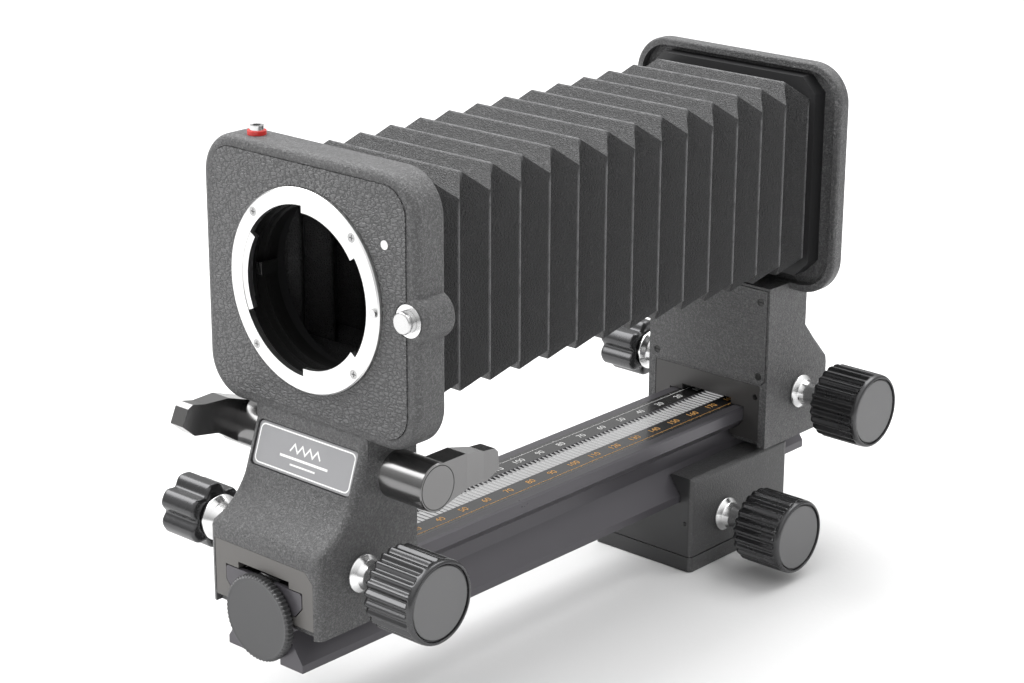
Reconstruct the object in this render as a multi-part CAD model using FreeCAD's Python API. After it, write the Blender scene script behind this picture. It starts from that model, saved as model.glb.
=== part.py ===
import FreeCAD, Part
import math
import os

# Macro bellows attachment: a lens standard and a camera standard on a toothed rail,
# joined by folded bellows, on a tripod block.  Millimetres, +Z up, lens side towards -Y,
# drive knobs on +X.  The origin is the mouth of the tripod socket under the block.

V = FreeCAD.Vector

# ---- overall sizes ----
EXTENSION = 208.0            # lens face to camera face, standards fully apart
RAIL_LENGTH = 235.6
AXIS_ABOVE_RAIL = 79.0       # optical axis above the rail's top
CAMERA_FACE_Y = 32.0         # camera face, from the tripod socket

# ---- rail section ----
RAIL_HEIGHT = 24.0
HEAD_HALF = 15.2             # upper dovetail, half width
HEAD_SIDE = 4.3
HEAD_UNDER_HALF = 12.4
HEAD_UNDER_DROP = 7.4
WEB_HALF = 9.5
WEB_FOOT_DROP = 13.7
FLANGE_HALF = 15.0           # lower dovetail, half width
FLANGE_EDGE = 2.4
RACK_WIDTH = 8.0
RACK_SEAT = 2.6              # depth of the groove that holds the upper rack
SCALE_WIDTH = 7.2
SCALE_GAP = 0.3
SCALE_THICK = 0.3
UNDER_CHANNEL_HALF = 6.0
UNDER_CHANNEL_DEPTH = 4.0
LOWER_RACK_WIDTH = 5.0

# ---- toothing ----
MODULE = 0.6
PRESSURE_ANGLE = math.radians(20.0)
PINION_TEETH = 12
BLOCK_PINION_TEETH = 28
TOOTH_PLAY = 0.16            # each tooth thinner than half the pitch by this much
MESH_LIFT = 0.10             # pinion set back from the rack's pitch line

# ---- tripod block ----
BLOCK_WIDTH = 40.0
BLOCK_LENGTH = 52.0
BLOCK_FRONT_Y = -BLOCK_LENGTH / 2
BLOCK_TOP = 32.5
BASE_PLATE = 5.5
RAIL_BOTTOM = 23.5           # rail's underside above the block's foot
BLOCK_SHAFT_Y = -8.0
SOCKET_R = 3.175             # 1/4 inch tripod thread
SOCKET_BUSH_LENGTH = 6.0
SOCKET_DEPTH = 5.6
SOCKET_BUSH_R = 6.0

# ---- knobs, shafts and bushes ----
KNOB_R = 12.2
KNOB_LENGTH = 19.0
KNOB_STANDOFF = 11.0         # side wall to the knob's inner face
KNOB_FLUTES = 24
SHAFT_R = 2.5
BUSH_R = 4.0
BUSH_FLANGE_R = 5.7
BUSH_WALL = 1.0              # casting left between a bush and the rail
STAR_R = 10.4
STAR_LENGTH = 15.0
STAR_STANDOFF = 15.5
STAR_LOBES = 6
LOCK_CONE_R = 7.0
LOCK_SCREW_R = 3.0

# ---- standards ----
HEAD_WIDTH = 82.8
HEAD_HEIGHT = 77.4
HEAD_CORNER = 12.5
FRONT_WIDTH = 44.0
REAR_WIDTH = 49.0
FOOT_BELOW_AXIS = 91.5       # underside of both standards
HEAD_FRONT = 1.6             # casting face behind the lens face
HEAD_REAR = 12.6
PAINT_EDGE = 2.4             # rounding of the castings' outer edges
LEATHER_WIDTH = 75.2
LEATHER_HEIGHT = 70.4
LEATHER_CORNER = 8.0
LEATHER_THICK = 0.9
LEATHER_PROUD = 0.3
NECK_REAR = 21.0
BASE_FRONT = -17.5
PLATE_WIDTH = 39.2           # smooth guide plate on the lens standard's foot
PLATE_TOP = 72.0
PLATE_THICK = 2.0
SLOT_HALF = 10.2             # opening for the rack above the rail
SLOT_HEIGHT = 2.2
DISH_WIDTH = 82.4            # flat dish of the camera standard
DISH_HEIGHT = 75.5
DISH_DROP = 0.95             # its middle below the optical axis
DISH_WALL = 2.4
COLLAR_R = 31.0              # round collar between the dish and the camera

# ---- lens mount ----
MOUNT_R = 29.0
THROAT_GAP_R = 24.3
THROAT_LUG_R = 22.2
LUG_CENTRES = (62.5, 176.0, 296.0)
LUG_SPAN = 56.0
MOUNT_SCREW_R = 27.0
TUBE_R = 25.6
RELEASE_X = 38.7
RELEASE_R = 3.1
LOCK_PIN_R = 1.2

# ---- camera mount ----
CAMERA_FLANGE_R = 28.0
CAMERA_TUBE_R = 21.8
CAMERA_LUG_R = 23.6
CAMERA_BORE_R = 19.0
CAMERA_TUBE = 4.6
CAMERA_LUG_CENTRES = (30.0, 150.0, 270.0)
CAMERA_LUG_SPAN = 52.0

# ---- bellows ----
FOLDS = 14
FOLD_OUT_X = 31.0
FOLD_OUT_Z = 31.7
FOLD_DEPTH = 5.5
BELLOWS_WALL = 0.8
FRAME_HALF_X = 33.0
FRAME_HALF_Z = 32.6
FRAME_CORNER = 5.0
FRONT_FRAME = 4.1
REAR_FRAME = 5.7

# ---- stop-down levers ----
LEVER_Y = 10.2
LEVER_BELOW_AXIS = 49.0
LEVER_HUB_R = 7.0
LEVER_REACH = 26.5
LEVER_INNER = 11.5           # side wall to the paddle's inner face
LEVER_OUTER = 18.5
LEVER_SHAFT_R = 3.0
LEFT_LEVER_LIFT = 18.0       # it points forward and a little up

# ---- clearances ----
SLIDE = 0.25                 # dovetail faces
RUN = 0.05                   # shaft in its bush
GAP = 0.3                    # moving neighbours
SEAT = 0.02                  # pressed or bolted pieces

# ---- derived places ----
RAIL_TOP = RAIL_BOTTOM + RAIL_HEIGHT
AXIS_Z = RAIL_TOP + AXIS_ABOVE_RAIL
LENS_Y = CAMERA_FACE_Y - EXTENSION
RAIL_FRONT = LENS_Y + BASE_FRONT
RAIL_REAR = RAIL_FRONT + RAIL_LENGTH
FOOT_Z = AXIS_Z - FOOT_BELOW_AXIS
PITCH = math.pi * MODULE
PINION_R = MODULE * PINION_TEETH / 2
BLOCK_PINION_R = MODULE * BLOCK_PINION_TEETH / 2
SHAFT_Z = RAIL_TOP - MODULE + PINION_R + MESH_LIFT
FRONT_SHAFT_Y = LENS_Y - 0.8
REAR_FACE_Y = CAMERA_FACE_Y - 25.5
REAR_SHAFT_Y = REAR_FACE_Y + 19.0
BLOCK_SHAFT_Z = RAIL_BOTTOM + MODULE - BLOCK_PINION_R - MESH_LIFT
DISH_FRONT = CAMERA_FACE_Y - 15.0
DISH_REAR = CAMERA_FACE_Y - 9.5
DISH_FLOOR = DISH_FRONT + 3.0
COLLAR_REAR = CAMERA_FACE_Y - 2.0
BELLOWS_FRONT = LENS_Y + HEAD_REAR + FRONT_FRAME
BELLOWS_REAR = DISH_FLOOR - REAR_FRAME
FOLD_PITCH = (BELLOWS_REAR - BELLOWS_FRONT) / FOLDS


# ---- plain solids ----
def box(x0, x1, y0, y1, z0, z1):
    return Part.makeBox(x1 - x0, y1 - y0, z1 - z0, V(x0, y0, z0))


def rod_x(x0, x1, y, z, r):
    return Part.makeCylinder(r, x1 - x0, V(x0, y, z), V(1, 0, 0))


def rod_y(y0, y1, x, z, r):
    return Part.makeCylinder(r, y1 - y0, V(x, y0, z), V(0, 1, 0))


def rod_z(z0, z1, x, y, r):
    return Part.makeCylinder(r, z1 - z0, V(x, y, z0), V(0, 0, 1))


def face_of(points):
    return Part.Face(Part.makePolygon(points + points[:1]))


def prism_x(outline, x0, x1):
    """Extrude a (y, z) outline along X."""
    return face_of([V(x0, y, z) for y, z in outline]).extrude(V(x1 - x0, 0, 0))


def prism_y(outline, y0, y1):
    """Extrude an (x, z) outline along Y."""
    return face_of([V(x, y0, z) for x, z in outline]).extrude(V(0, y1 - y0, 0))


def mirrored(half):
    """Close a half outline, listed top to bottom on +X, across the YZ plane."""
    return half + [(-x, z) for x, z in reversed(half)]


def rounded_panel(width, height, corner, y0, y1, zc):
    """Rounded rectangle in XZ, centred on x = 0, extruded along Y."""
    w, h, r = width / 2, height / 2, corner
    s = r * math.sqrt(0.5)
    edges = []
    for cx, cz, sx, sz in ((w - r, h - r, 1, 1), (-w + r, h - r, -1, 1),
                           (-w + r, -h + r, -1, -1), (w - r, -h + r, 1, -1)):
        side = V(cx + sx * r, y0, zc + cz)
        cap = V(cx, y0, zc + cz + sz * r)
        middle = V(cx + sx * s, y0, zc + cz + sz * s)
        start, end = (side, cap) if sx * sz > 0 else (cap, side)
        if edges:
            edges.append(Part.LineSegment(edges[-1].EndPoint, start))
        edges.append(Part.Arc(start, middle, end))
    edges.append(Part.LineSegment(edges[-1].EndPoint, edges[0].StartPoint))
    wire = Part.Wire([e.toShape() for e in edges])
    return Part.Face(wire).extrude(V(0, y1 - y0, 0))


def turned_x(profile, y, z):
    """Turn an (x, r) profile about the X-wise axis through (y, z)."""
    pts = [V(x, y, z + r) for x, r in profile]
    return face_of(pts).revolve(V(0, y, z), V(1, 0, 0), 360)


def turned_y(profile):
    """Turn a (y, r) profile about the optical axis."""
    pts = [V(r, y, AXIS_Z) for y, r in profile]
    return face_of(pts).revolve(V(0, 0, AXIS_Z), V(0, 1, 0), 360)


def sector_y(y0, y1, r_in, r_out, centre_deg, span_deg):
    """Ring segment about the optical axis."""
    a0 = math.radians(centre_deg - span_deg / 2)
    outline = [V(r_in, y0, AXIS_Z), V(r_out, y0, AXIS_Z), V(r_out, y1, AXIS_Z), V(r_in, y1, AXIS_Z)]
    face = face_of(outline)
    face.rotate(V(0, 0, AXIS_Z), V(0, -1, 0), math.degrees(a0))
    return face.revolve(V(0, 0, AXIS_Z), V(0, -1, 0), span_deg)


def on_axis(radius, degrees):
    """Point (x, z) at a radius and angle about the optical axis."""
    a = math.radians(degrees)
    return radius * math.cos(a), AXIS_Z + radius * math.sin(a)


def rounded_edges(shape, radius, wanted):
    """Round every edge whose middle point passes the test."""
    chosen = []
    for edge in shape.Edges:
        p = edge.valueAt((edge.FirstParameter + edge.LastParameter) / 2)
        if wanted(p, edge):
            chosen.append(edge)
    return shape.makeFillet(radius, chosen)


def cut_all(shape, tools):
    return shape.cut(Part.makeCompound(tools))


def fuse_all(shapes):
    return shapes[0].multiFuse(shapes[1:]).removeSplitter()


# ---- toothing ----
def rack_outline(y0, length, pitch_z, up, depth):
    """(y, z) outline of a rack whose teeth point up (+1) or down (-1)."""
    teeth = int(length / PITCH)
    slope = math.tan(PRESSURE_ANGLE)
    half = PITCH / 4 - TOOTH_PLAY / 2
    tip = pitch_z + up * MODULE
    root = pitch_z - up * 1.25 * MODULE
    pts = [(y0, pitch_z - up * depth), (y0, root)]
    for k in range(teeth):
        c = y0 + (k + 0.5) * PITCH
        pts.append((c - half - 1.25 * MODULE * slope, root))
        pts.append((c - half + MODULE * slope, tip))
        pts.append((c + half - MODULE * slope, tip))
        pts.append((c + half + 1.25 * MODULE * slope, root))
    pts.append((y0 + length, root))
    pts.append((y0 + length, pitch_z - up * depth))
    return pts


def gear_outline(teeth, angle):
    """Involute gear outline as (y, z) about its own axis; one tooth at the given angle."""
    pitch_r = MODULE * teeth / 2
    base_r = pitch_r * math.cos(PRESSURE_ANGLE)
    tip_r = pitch_r + MODULE * 0.9
    root_r = pitch_r - MODULE * 1.25
    lean = math.tan(PRESSURE_ANGLE) - PRESSURE_ANGLE
    half = (math.pi / 2 - TOOTH_PLAY / 2 / MODULE) / teeth
    flank = []
    for k in range(5):
        r = max(root_r, base_r) + (tip_r - max(root_r, base_r)) * k / 4
        t = math.sqrt(max((r / base_r) ** 2 - 1, 0.0))
        flank.append((r, half + lean - (t - math.atan(t))))
    if base_r > root_r:
        flank.insert(0, (root_r, flank[0][1]))
    pts = []
    for n in range(teeth):
        c = angle + 2 * math.pi * n / teeth
        for r, a in flank:
            pts.append((r * math.cos(c - a), r * math.sin(c - a)))
        for r, a in reversed(flank):
            pts.append((r * math.cos(c + a), r * math.sin(c + a)))
    return pts


def pinion(teeth, y, z, x0, x1, below):
    """Pinion in mesh with a rack below (+1) or above (-1) it."""
    radius = MODULE * teeth / 2
    k = round((y - RAIL_FRONT) / PITCH)
    shift = RAIL_FRONT + k * PITCH - y
    angle = -below * (math.pi / 2 - shift / radius)
    outline = [(y + dy, z + dz) for dy, dz in gear_outline(teeth, angle)]
    return prism_x(outline, x0, x1)


# ---- knobs and bushes ----
def drive_knob(wall_x, y, z):
    """Fluted knob with a bevelled end and a shallow ring groove round its end disc."""
    x0 = wall_x + KNOB_STANDOFF
    x1 = x0 + KNOB_LENGTH
    body = turned_x([(x0, SHAFT_R + RUN), (x0, KNOB_R - 2.6), (x0 + 1.6, KNOB_R - 0.5), (x0 + 2.6, KNOB_R),
                     (x1 - 2.0, KNOB_R), (x1 - 0.5, KNOB_R - 0.8), (x1, KNOB_R - 1.6), (x1, KNOB_R - 2.3),
                     (x1 - 0.8, KNOB_R - 2.6), (x1 - 0.3, KNOB_R - 2.9), (x1 - 0.3, 0), (x1 - 4.0, 0),
                     (x1 - 4.0, SHAFT_R + RUN)], y, z)
    flutes = []
    for n in range(KNOB_FLUTES):
        a = 2 * math.pi * n / KNOB_FLUTES
        r = KNOB_R + 0.35
        flutes.append(rod_x(x0 - 1, x1 - 2.2, y + r * math.cos(a), z + r * math.sin(a), 0.95))
    return cut_all(body, flutes)


def bush(wall_x, y, z, depth):
    """Trumpet-shaped bearing bush: flange on the wall, waist, small lip at the knob."""
    end = wall_x + KNOB_STANDOFF - GAP
    bore = SHAFT_R + RUN
    return turned_x([(wall_x - depth, bore), (wall_x - depth, BUSH_R - SEAT), (wall_x, BUSH_R - SEAT),
                     (wall_x, BUSH_FLANGE_R), (wall_x + 0.9, BUSH_FLANGE_R),
                     (wall_x + 2.2, BUSH_FLANGE_R - 1.5), (wall_x + 4.0, SHAFT_R + 1.1),
                     (end - 2.6, SHAFT_R + 1.1), (end - 1.0, SHAFT_R + 2.3), (end, SHAFT_R + 2.3),
                     (end, bore)], y, z)


def lock_cone(wall_x, y, z):
    """Sleeve on the left wall, widening to a cone under the star knob."""
    end = wall_x + STAR_STANDOFF - GAP
    bore = LOCK_SCREW_R + RUN
    sleeve = [(wall_x, bore), (wall_x, BUSH_FLANGE_R), (wall_x + 1.0, BUSH_FLANGE_R),
              (wall_x + 2.0, BUSH_R + 0.6), (end - 7.0, BUSH_R + 0.6), (end - 3.0, LOCK_CONE_R - 1.2),
              (end - 1.2, LOCK_CONE_R), (end, LOCK_CONE_R - 0.3), (end, bore)]
    return turned_x([(-x, r) for x, r in sleeve], y, z)


def star_knob(wall_x, y, z):
    x0 = wall_x + STAR_STANDOFF
    x1 = x0 + STAR_LENGTH
    body = turned_x([(-x, r) for x, r in ((x0, 0), (x0, STAR_R - 1.0), (x0 + 1.0, STAR_R),
                                         (x1 - 1.4, STAR_R), (x1, STAR_R - 1.4), (x1, 0))], y, z)
    scoops = [rod_x(-x0 - 3.0, -x0 + 1.0, y, z, LOCK_SCREW_R + SEAT)]
    for n in range(STAR_LOBES):
        a = 2 * math.pi * (n + 0.5) / STAR_LOBES
        r = STAR_R + 1.4
        scoops.append(rod_x(-x1 - 1, -x0 + 1, y + r * math.cos(a), z + r * math.sin(a), 3.6))
    return cut_all(body, scoops)


def lock_screw(wall_x, y, z, tip_x):
    """Clamp screw that runs in from the left until it bears on the end of the pinion shaft."""
    end = -(wall_x + STAR_STANDOFF + 3.0)
    return rod_x(end + 0.02, tip_x, y, z, LOCK_SCREW_R)


def pinion_shaft(wall_x, y, z, teeth, width, left_end, below):
    right_end = wall_x + KNOB_STANDOFF + KNOB_LENGTH - 4.0 - SEAT
    gear = pinion(teeth, y, z, -width / 2, width / 2, below)
    return gear.fuse(rod_x(left_end, right_end, y, z, SHAFT_R)).removeSplitter()


# ---- rail ----
def rail_section(play, foot_z):
    """Closed (x, z) outline of the rail's upper dovetail and web, grown by the play."""
    top = RAIL_TOP + play
    under = RAIL_TOP - HEAD_UNDER_DROP
    return mirrored([(HEAD_HALF + play, top), (HEAD_HALF + play, RAIL_TOP - HEAD_SIDE - play / 2),
                     (HEAD_UNDER_HALF + play, under - play), (WEB_HALF + play, under - play),
                     (WEB_HALF + play, foot_z)])


def flange_section(play, top_z):
    """Closed (x, z) outline of the rail's lower dovetail, grown by the play."""
    web_foot = RAIL_TOP - WEB_FOOT_DROP
    slope = (FLANGE_HALF - WEB_HALF) / (web_foot - RAIL_BOTTOM - FLANGE_EDGE)
    edge_z = RAIL_BOTTOM + FLANGE_EDGE
    return mirrored([(WEB_HALF + play + max(web_foot - top_z, 0) * slope, top_z),
                     (FLANGE_HALF + play, edge_z), (FLANGE_HALF + play, RAIL_BOTTOM - play)])


def rail():
    web_foot = RAIL_TOP - WEB_FOOT_DROP
    under = RAIL_TOP - HEAD_UNDER_DROP
    chamfer = 0.6
    half = [(HEAD_HALF - chamfer, RAIL_TOP), (HEAD_HALF, RAIL_TOP - chamfer),
            (HEAD_HALF, RAIL_TOP - HEAD_SIDE), (HEAD_UNDER_HALF, under), (WEB_HALF, under),
            (WEB_HALF, web_foot), (FLANGE_HALF, RAIL_BOTTOM + FLANGE_EDGE), (FLANGE_HALF, RAIL_BOTTOM)]
    body = prism_y(mirrored(half), RAIL_FRONT, RAIL_REAR)
    cuts = [box(-RACK_WIDTH / 2 - SEAT, RACK_WIDTH / 2 + SEAT, RAIL_FRONT - 1, RAIL_REAR + 1,
                RAIL_TOP - RACK_SEAT, RAIL_TOP + 1),
            box(-UNDER_CHANNEL_HALF, UNDER_CHANNEL_HALF, RAIL_FRONT - 1, RAIL_REAR + 1,
                RAIL_BOTTOM - 1, RAIL_BOTTOM + UNDER_CHANNEL_DEPTH),
            rod_y(RAIL_FRONT - 1, RAIL_FRONT + 12, 0, END_KNOB_Z, LOCK_SCREW_R + RUN)]
    for side in (-1, 1):
        x0, x1 = sorted((side * scale_inner(), side * (scale_inner() + SCALE_WIDTH)))
        cuts.append(box(x0 - SEAT, x1 + SEAT, RAIL_FRONT + 1.5, RAIL_REAR + 1,
                        RAIL_TOP - SCALE_THICK, RAIL_TOP + 1))
        cuts.append(rod_y(RAIL_REAR - 8, RAIL_REAR + 1, side * STOP_X, RAIL_TOP - STOP_DROP, 1.1))
    return cut_all(body, cuts)


STOP_X = 8.0
STOP_DROP = 2.2
STOP_HEAD_R = 2.8            # stands above the rail and stops the camera standard
END_KNOB_Z = RAIL_TOP - 11.0
END_KNOB_R = 12.7
END_KNOB_THICK = 2.8


def scale_inner():
    return RACK_WIDTH / 2 + SCALE_GAP


def upper_rack():
    outline = rack_outline(RAIL_FRONT, RAIL_LENGTH, RAIL_TOP - MODULE, 1, RACK_SEAT - MODULE)
    return prism_x(outline, -RACK_WIDTH / 2, RACK_WIDTH / 2)


def lower_rack():
    depth = UNDER_CHANNEL_DEPTH - MODULE
    outline = rack_outline(RAIL_FRONT, RAIL_LENGTH, RAIL_BOTTOM + MODULE, -1, depth)
    return prism_x(outline, -LOWER_RACK_WIDTH / 2, LOWER_RACK_WIDTH / 2)


def scale(side):
    x0, x1 = sorted((side * scale_inner(), side * (scale_inner() + SCALE_WIDTH)))
    return box(x0, x1, RAIL_FRONT + 1.5, RAIL_REAR, RAIL_TOP - SCALE_THICK, RAIL_TOP)


def rail_stop_screws():
    screws = []
    for side in (-1, 1):
        x, z = side * STOP_X, RAIL_TOP - STOP_DROP
        shank = rod_y(RAIL_REAR - 7.5, RAIL_REAR, x, z, 1.1 - SEAT)
        head = rod_y(RAIL_REAR, RAIL_REAR + 1.0, x, z, STOP_HEAD_R)
        slot = box(x - STOP_HEAD_R, x + STOP_HEAD_R, RAIL_REAR + 0.5, RAIL_REAR + 2, z - 0.3, z + 0.3)
        screws.append(shank.fuse(head).removeSplitter().cut(slot))
    return Part.makeCompound(screws)


def end_disc_knob():
    """Thin milled disc on a stud at the rail's front end."""
    back = RAIL_FRONT - GAP
    disc = rod_y(back - END_KNOB_THICK, back, 0, END_KNOB_Z, END_KNOB_R)
    disc = rounded_edges(disc, 0.35, lambda p, e: e.Curve.TypeId == "Part::GeomCircle")
    mills = []
    count = 72
    for n in range(count):
        a = 2 * math.pi * n / count
        mills.append(rod_y(back - END_KNOB_THICK - 1, back + 1, (END_KNOB_R + 0.25) * math.cos(a),
                           END_KNOB_Z + (END_KNOB_R + 0.25) * math.sin(a), 0.42))
    stud = rod_y(back, RAIL_FRONT + 10, 0, END_KNOB_Z, LOCK_SCREW_R)
    return cut_all(disc, mills).fuse(stud).removeSplitter()


# ---- tripod block ----
def block_body():
    y0, y1 = BLOCK_FRONT_Y, BLOCK_FRONT_Y + BLOCK_LENGTH
    half = BLOCK_WIDTH / 2
    body = box(-half, half, y0, y1, BASE_PLATE, BLOCK_TOP)
    body = rounded_edges(body, 1.6, lambda p, e: abs(abs(p.x) - half) < 0.01 and p.z > BASE_PLATE + 1)
    tip = BLOCK_PINION_R + MODULE + 0.4
    wall = half
    cuts = [prism_y(flange_section(SLIDE, BLOCK_TOP + 1), y0 - 1, y1 + 1),
            box(-WEB_HALF - SLIDE - 1.5, WEB_HALF + SLIDE + 1.5, y0 - 1, y1 + 1,
                BLOCK_TOP - 1, BLOCK_TOP + 1),
            rod_x(-UNDER_CHANNEL_HALF, UNDER_CHANNEL_HALF, BLOCK_SHAFT_Y, BLOCK_SHAFT_Z, tip),
            rod_x(0, wall, BLOCK_SHAFT_Y, BLOCK_SHAFT_Z, SHAFT_R + GAP),
            rod_x(HEAD_HALF + BUSH_WALL, wall + 1, BLOCK_SHAFT_Y, BLOCK_SHAFT_Z, BUSH_R),
            rod_x(-wall - 1, 0, BLOCK_SHAFT_Y, BLOCK_SHAFT_Z, LOCK_SCREW_R + RUN),
            rod_z(BASE_PLATE - 1, SOCKET_BUSH_LENGTH + SEAT, 0, 0, SOCKET_BUSH_R)]
    for x, y in base_screw_places():
        cuts.append(rod_z(BASE_PLATE - 1, BASE_PLATE + 8, x, y, 1.3))
    return cut_all(body, cuts)


def base_screw_places():
    inset = 5.0
    xs = (-BLOCK_WIDTH / 2 + inset, BLOCK_WIDTH / 2 - inset)
    ys = (BLOCK_FRONT_Y + inset, BLOCK_FRONT_Y + BLOCK_LENGTH - inset)
    return [(x, y) for x in xs for y in ys]


def block_base_plate():
    y0, y1 = BLOCK_FRONT_Y, BLOCK_FRONT_Y + BLOCK_LENGTH
    half = BLOCK_WIDTH / 2
    plate = box(-half, half, y0, y1, 0, BASE_PLATE)
    plate = rounded_edges(plate, 1.6, lambda p, e: abs(p.z - BASE_PLATE / 2) < 0.01)
    neck = box(-half + 0.5, half - 0.5, y0 + 0.5, y1 - 0.5, BASE_PLATE - 0.5, BASE_PLATE + 1)
    rebate = box(-half - 1, half + 1, y0 - 1, y1 + 1, BASE_PLATE - 0.5, BASE_PLATE + 1).cut(neck)
    cuts = [rebate, rod_z(-1, BASE_PLATE + 1, 0, 0, SOCKET_BUSH_R)]
    for x, y in base_screw_places():
        cuts.append(rod_z(-1, BASE_PLATE + 1, x, y, 1.3))
        cuts.append(rod_z(-1, 1.8, x, y, 2.4))
    return cut_all(plate, cuts)


def base_plate_screws():
    screws = []
    for x, y in base_screw_places():
        shank = rod_z(1.8, BASE_PLATE + 7.5, x, y, 1.3 - SEAT)
        head = rod_z(0.3, 1.8, x, y, 2.4 - SEAT)
        slot = box(x - 2.4, x + 2.4, y - 0.3, y + 0.3, 0.2, 0.9)
        screws.append(shank.fuse(head).cut(slot).removeSplitter())
    return Part.makeCompound(screws)


def tripod_bush():
    bush_body = rod_z(0, SOCKET_BUSH_LENGTH, 0, 0, SOCKET_BUSH_R - SEAT)
    return bush_body.cut(rod_z(-1, SOCKET_DEPTH, 0, 0, SOCKET_R))


# ---- lens standard ----
def foot_cuts(y0, y1, shaft_y, wall):
    """What the rail, the rack slot, the pinion and the shafts need out of a standard's foot."""
    reach = PINION_R + MODULE + 0.5
    return [prism_y(rail_section(SLIDE, FOOT_Z - 1), y0 - 1, y1 + 1),
            box(-SLOT_HALF, SLOT_HALF, y0 - 1, y1 + 1, RAIL_TOP - 1, RAIL_TOP + SLOT_HEIGHT),
            rod_x(-6.0, 6.0, shaft_y, SHAFT_Z, reach),
            box(-6.0, 6.0, shaft_y - reach, shaft_y + reach, RAIL_TOP - 1, SHAFT_Z),
            rod_x(0, wall, shaft_y, SHAFT_Z, SHAFT_R + GAP),
            rod_x(HEAD_HALF + BUSH_WALL, wall + 1, shaft_y, SHAFT_Z, BUSH_R),
            rod_x(-wall - 1, 0, shaft_y, SHAFT_Z, LOCK_SCREW_R + RUN)]


def front_profile():
    """Side outline (y, z) of the lens standard's neck and foot."""
    y, z = LENS_Y, AXIS_Z
    front = y + BASE_FRONT
    line = [V(0, y + HEAD_REAR, z - 30), V(0, y + HEAD_FRONT + 0.4, z - 30),
            V(0, y + HEAD_FRONT + 0.4, z - 38.0), V(0, y - 4.4, z - 56.2)]
    curve = Part.Arc(line[-1], V(0, y - 9.0, z - 62.4), V(0, front + 1.0, z - 66.8))
    tail = [curve.EndPoint, V(0, front, z - 68.4), V(0, front, FOOT_Z), V(0, y + NECK_REAR, FOOT_Z),
            V(0, y + NECK_REAR, z - 40.5), V(0, y + HEAD_REAR, z - 36.0), line[0]]
    edges = [Part.LineSegment(a, b).toShape() for a, b in zip(line, line[1:])]
    edges.append(curve.toShape())
    edges += [Part.LineSegment(a, b).toShape() for a, b in zip(tail, tail[1:])]
    return Part.Wire(edges)


def front_casting():
    wall = FRONT_WIDTH / 2
    y = LENS_Y
    head = rounded_panel(HEAD_WIDTH, HEAD_HEIGHT, HEAD_CORNER, y + HEAD_FRONT, y + HEAD_REAR, AXIS_Z)
    head = rounded_edges(head, PAINT_EDGE, lambda p, e: abs(p.y - (y + HEAD_FRONT)) < 0.01)
    head = rounded_edges(head, 1.2, lambda p, e: abs(p.y - (y + HEAD_REAR)) < 0.01)
    neck = Part.Face(front_profile()).extrude(V(2 * wall, 0, 0))
    neck.translate(V(-wall, 0, 0))
    neck = rounded_edges(neck, PAINT_EDGE, lambda p, e: abs(abs(p.x) - wall) < 0.01
                         and p.y < y + HEAD_FRONT + 0.3 and p.z > FOOT_Z + 1)
    boss = rod_y(y + HEAD_FRONT, y + HEAD_REAR, RELEASE_X, AXIS_Z, RELEASE_R + 3.6)
    boss = rounded_edges(boss, 1.2, lambda p, e: e.Curve.TypeId == "Part::GeomCircle")
    body = fuse_all([head, neck, boss])
    pocket = rounded_panel(LEATHER_WIDTH + 0.3, LEATHER_HEIGHT + 0.3, LEATHER_CORNER, y - 1,
                           y + HEAD_FRONT + LEATHER_THICK - LEATHER_PROUD, AXIS_Z)
    pocket = pocket.cut(rod_y(y - 2, y + 20, RELEASE_X, AXIS_Z, RELEASE_R + 2.0))
    mount_seat = rod_y(y - 1, y + 2.0, 0, AXIS_Z, MOUNT_R + 0.1)
    cuts = [pocket, mount_seat, rod_y(y, y + 30, 0, AXIS_Z, TUBE_R + SEAT),
            rod_y(y - 1, y + HEAD_REAR + 1, RELEASE_X, AXIS_Z, RELEASE_R + RUN),
            rod_y(y - 1, y + 4.2, RELEASE_X, AXIS_Z, RELEASE_R + 1.5),
            box(MOUNT_SCREW_R - 2.4, RELEASE_X + 2.4, y + HEAD_REAR - 3.4, y + HEAD_REAR + 1,
                AXIS_Z - 2.5, AXIS_Z + 2.5),
            rod_y(y - 1, y + HEAD_REAR, MOUNT_SCREW_R + 0.3, AXIS_Z, LOCK_PIN_R + RUN),
            rod_z(AXIS_Z + HEAD_HEIGHT / 2 - 5, AXIS_Z + HEAD_HEIGHT / 2 + 1, CABLE_X, y + CABLE_Y, 1.9),
            nameplate_block(0.3, 1.4)]
    for n in range(4):
        x, z = on_axis(MOUNT_SCREW_R, 45 + 90 * n)
        cuts.append(rod_y(y - 1, y + 6, x, z, 0.8))
    cuts += foot_cuts(y + BASE_FRONT, y + NECK_REAR, FRONT_SHAFT_Y, wall)
    cuts.append(prism_y(guide_plate_outline(0.15, FOOT_Z - 1), y + BASE_FRONT - 1,
                        y + BASE_FRONT + PLATE_THICK))
    for side in (-1, 1):
        x0, x1 = sorted((side * (wall - LEVER_SOCKET), side * (wall + 1)))
        cuts.append(rod_x(x0, x1, y + LEVER_Y, AXIS_Z - LEVER_BELOW_AXIS, LEVER_SHAFT_R + RUN))
    return cut_all(body, cuts)


LEVER_SOCKET = 14.0
CABLE_X = -24.0
CABLE_Y = 6.8
NAMEPLATE_WIDTH = 39.0
NAMEPLATE_HEIGHT = 12.6
NAMEPLATE_LEAN = 18.9        # degrees from the vertical, foot forward
NAMEPLATE_MIDDLE = 47.6      # below the optical axis
NAMEPLATE_THICK = 0.8


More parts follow.
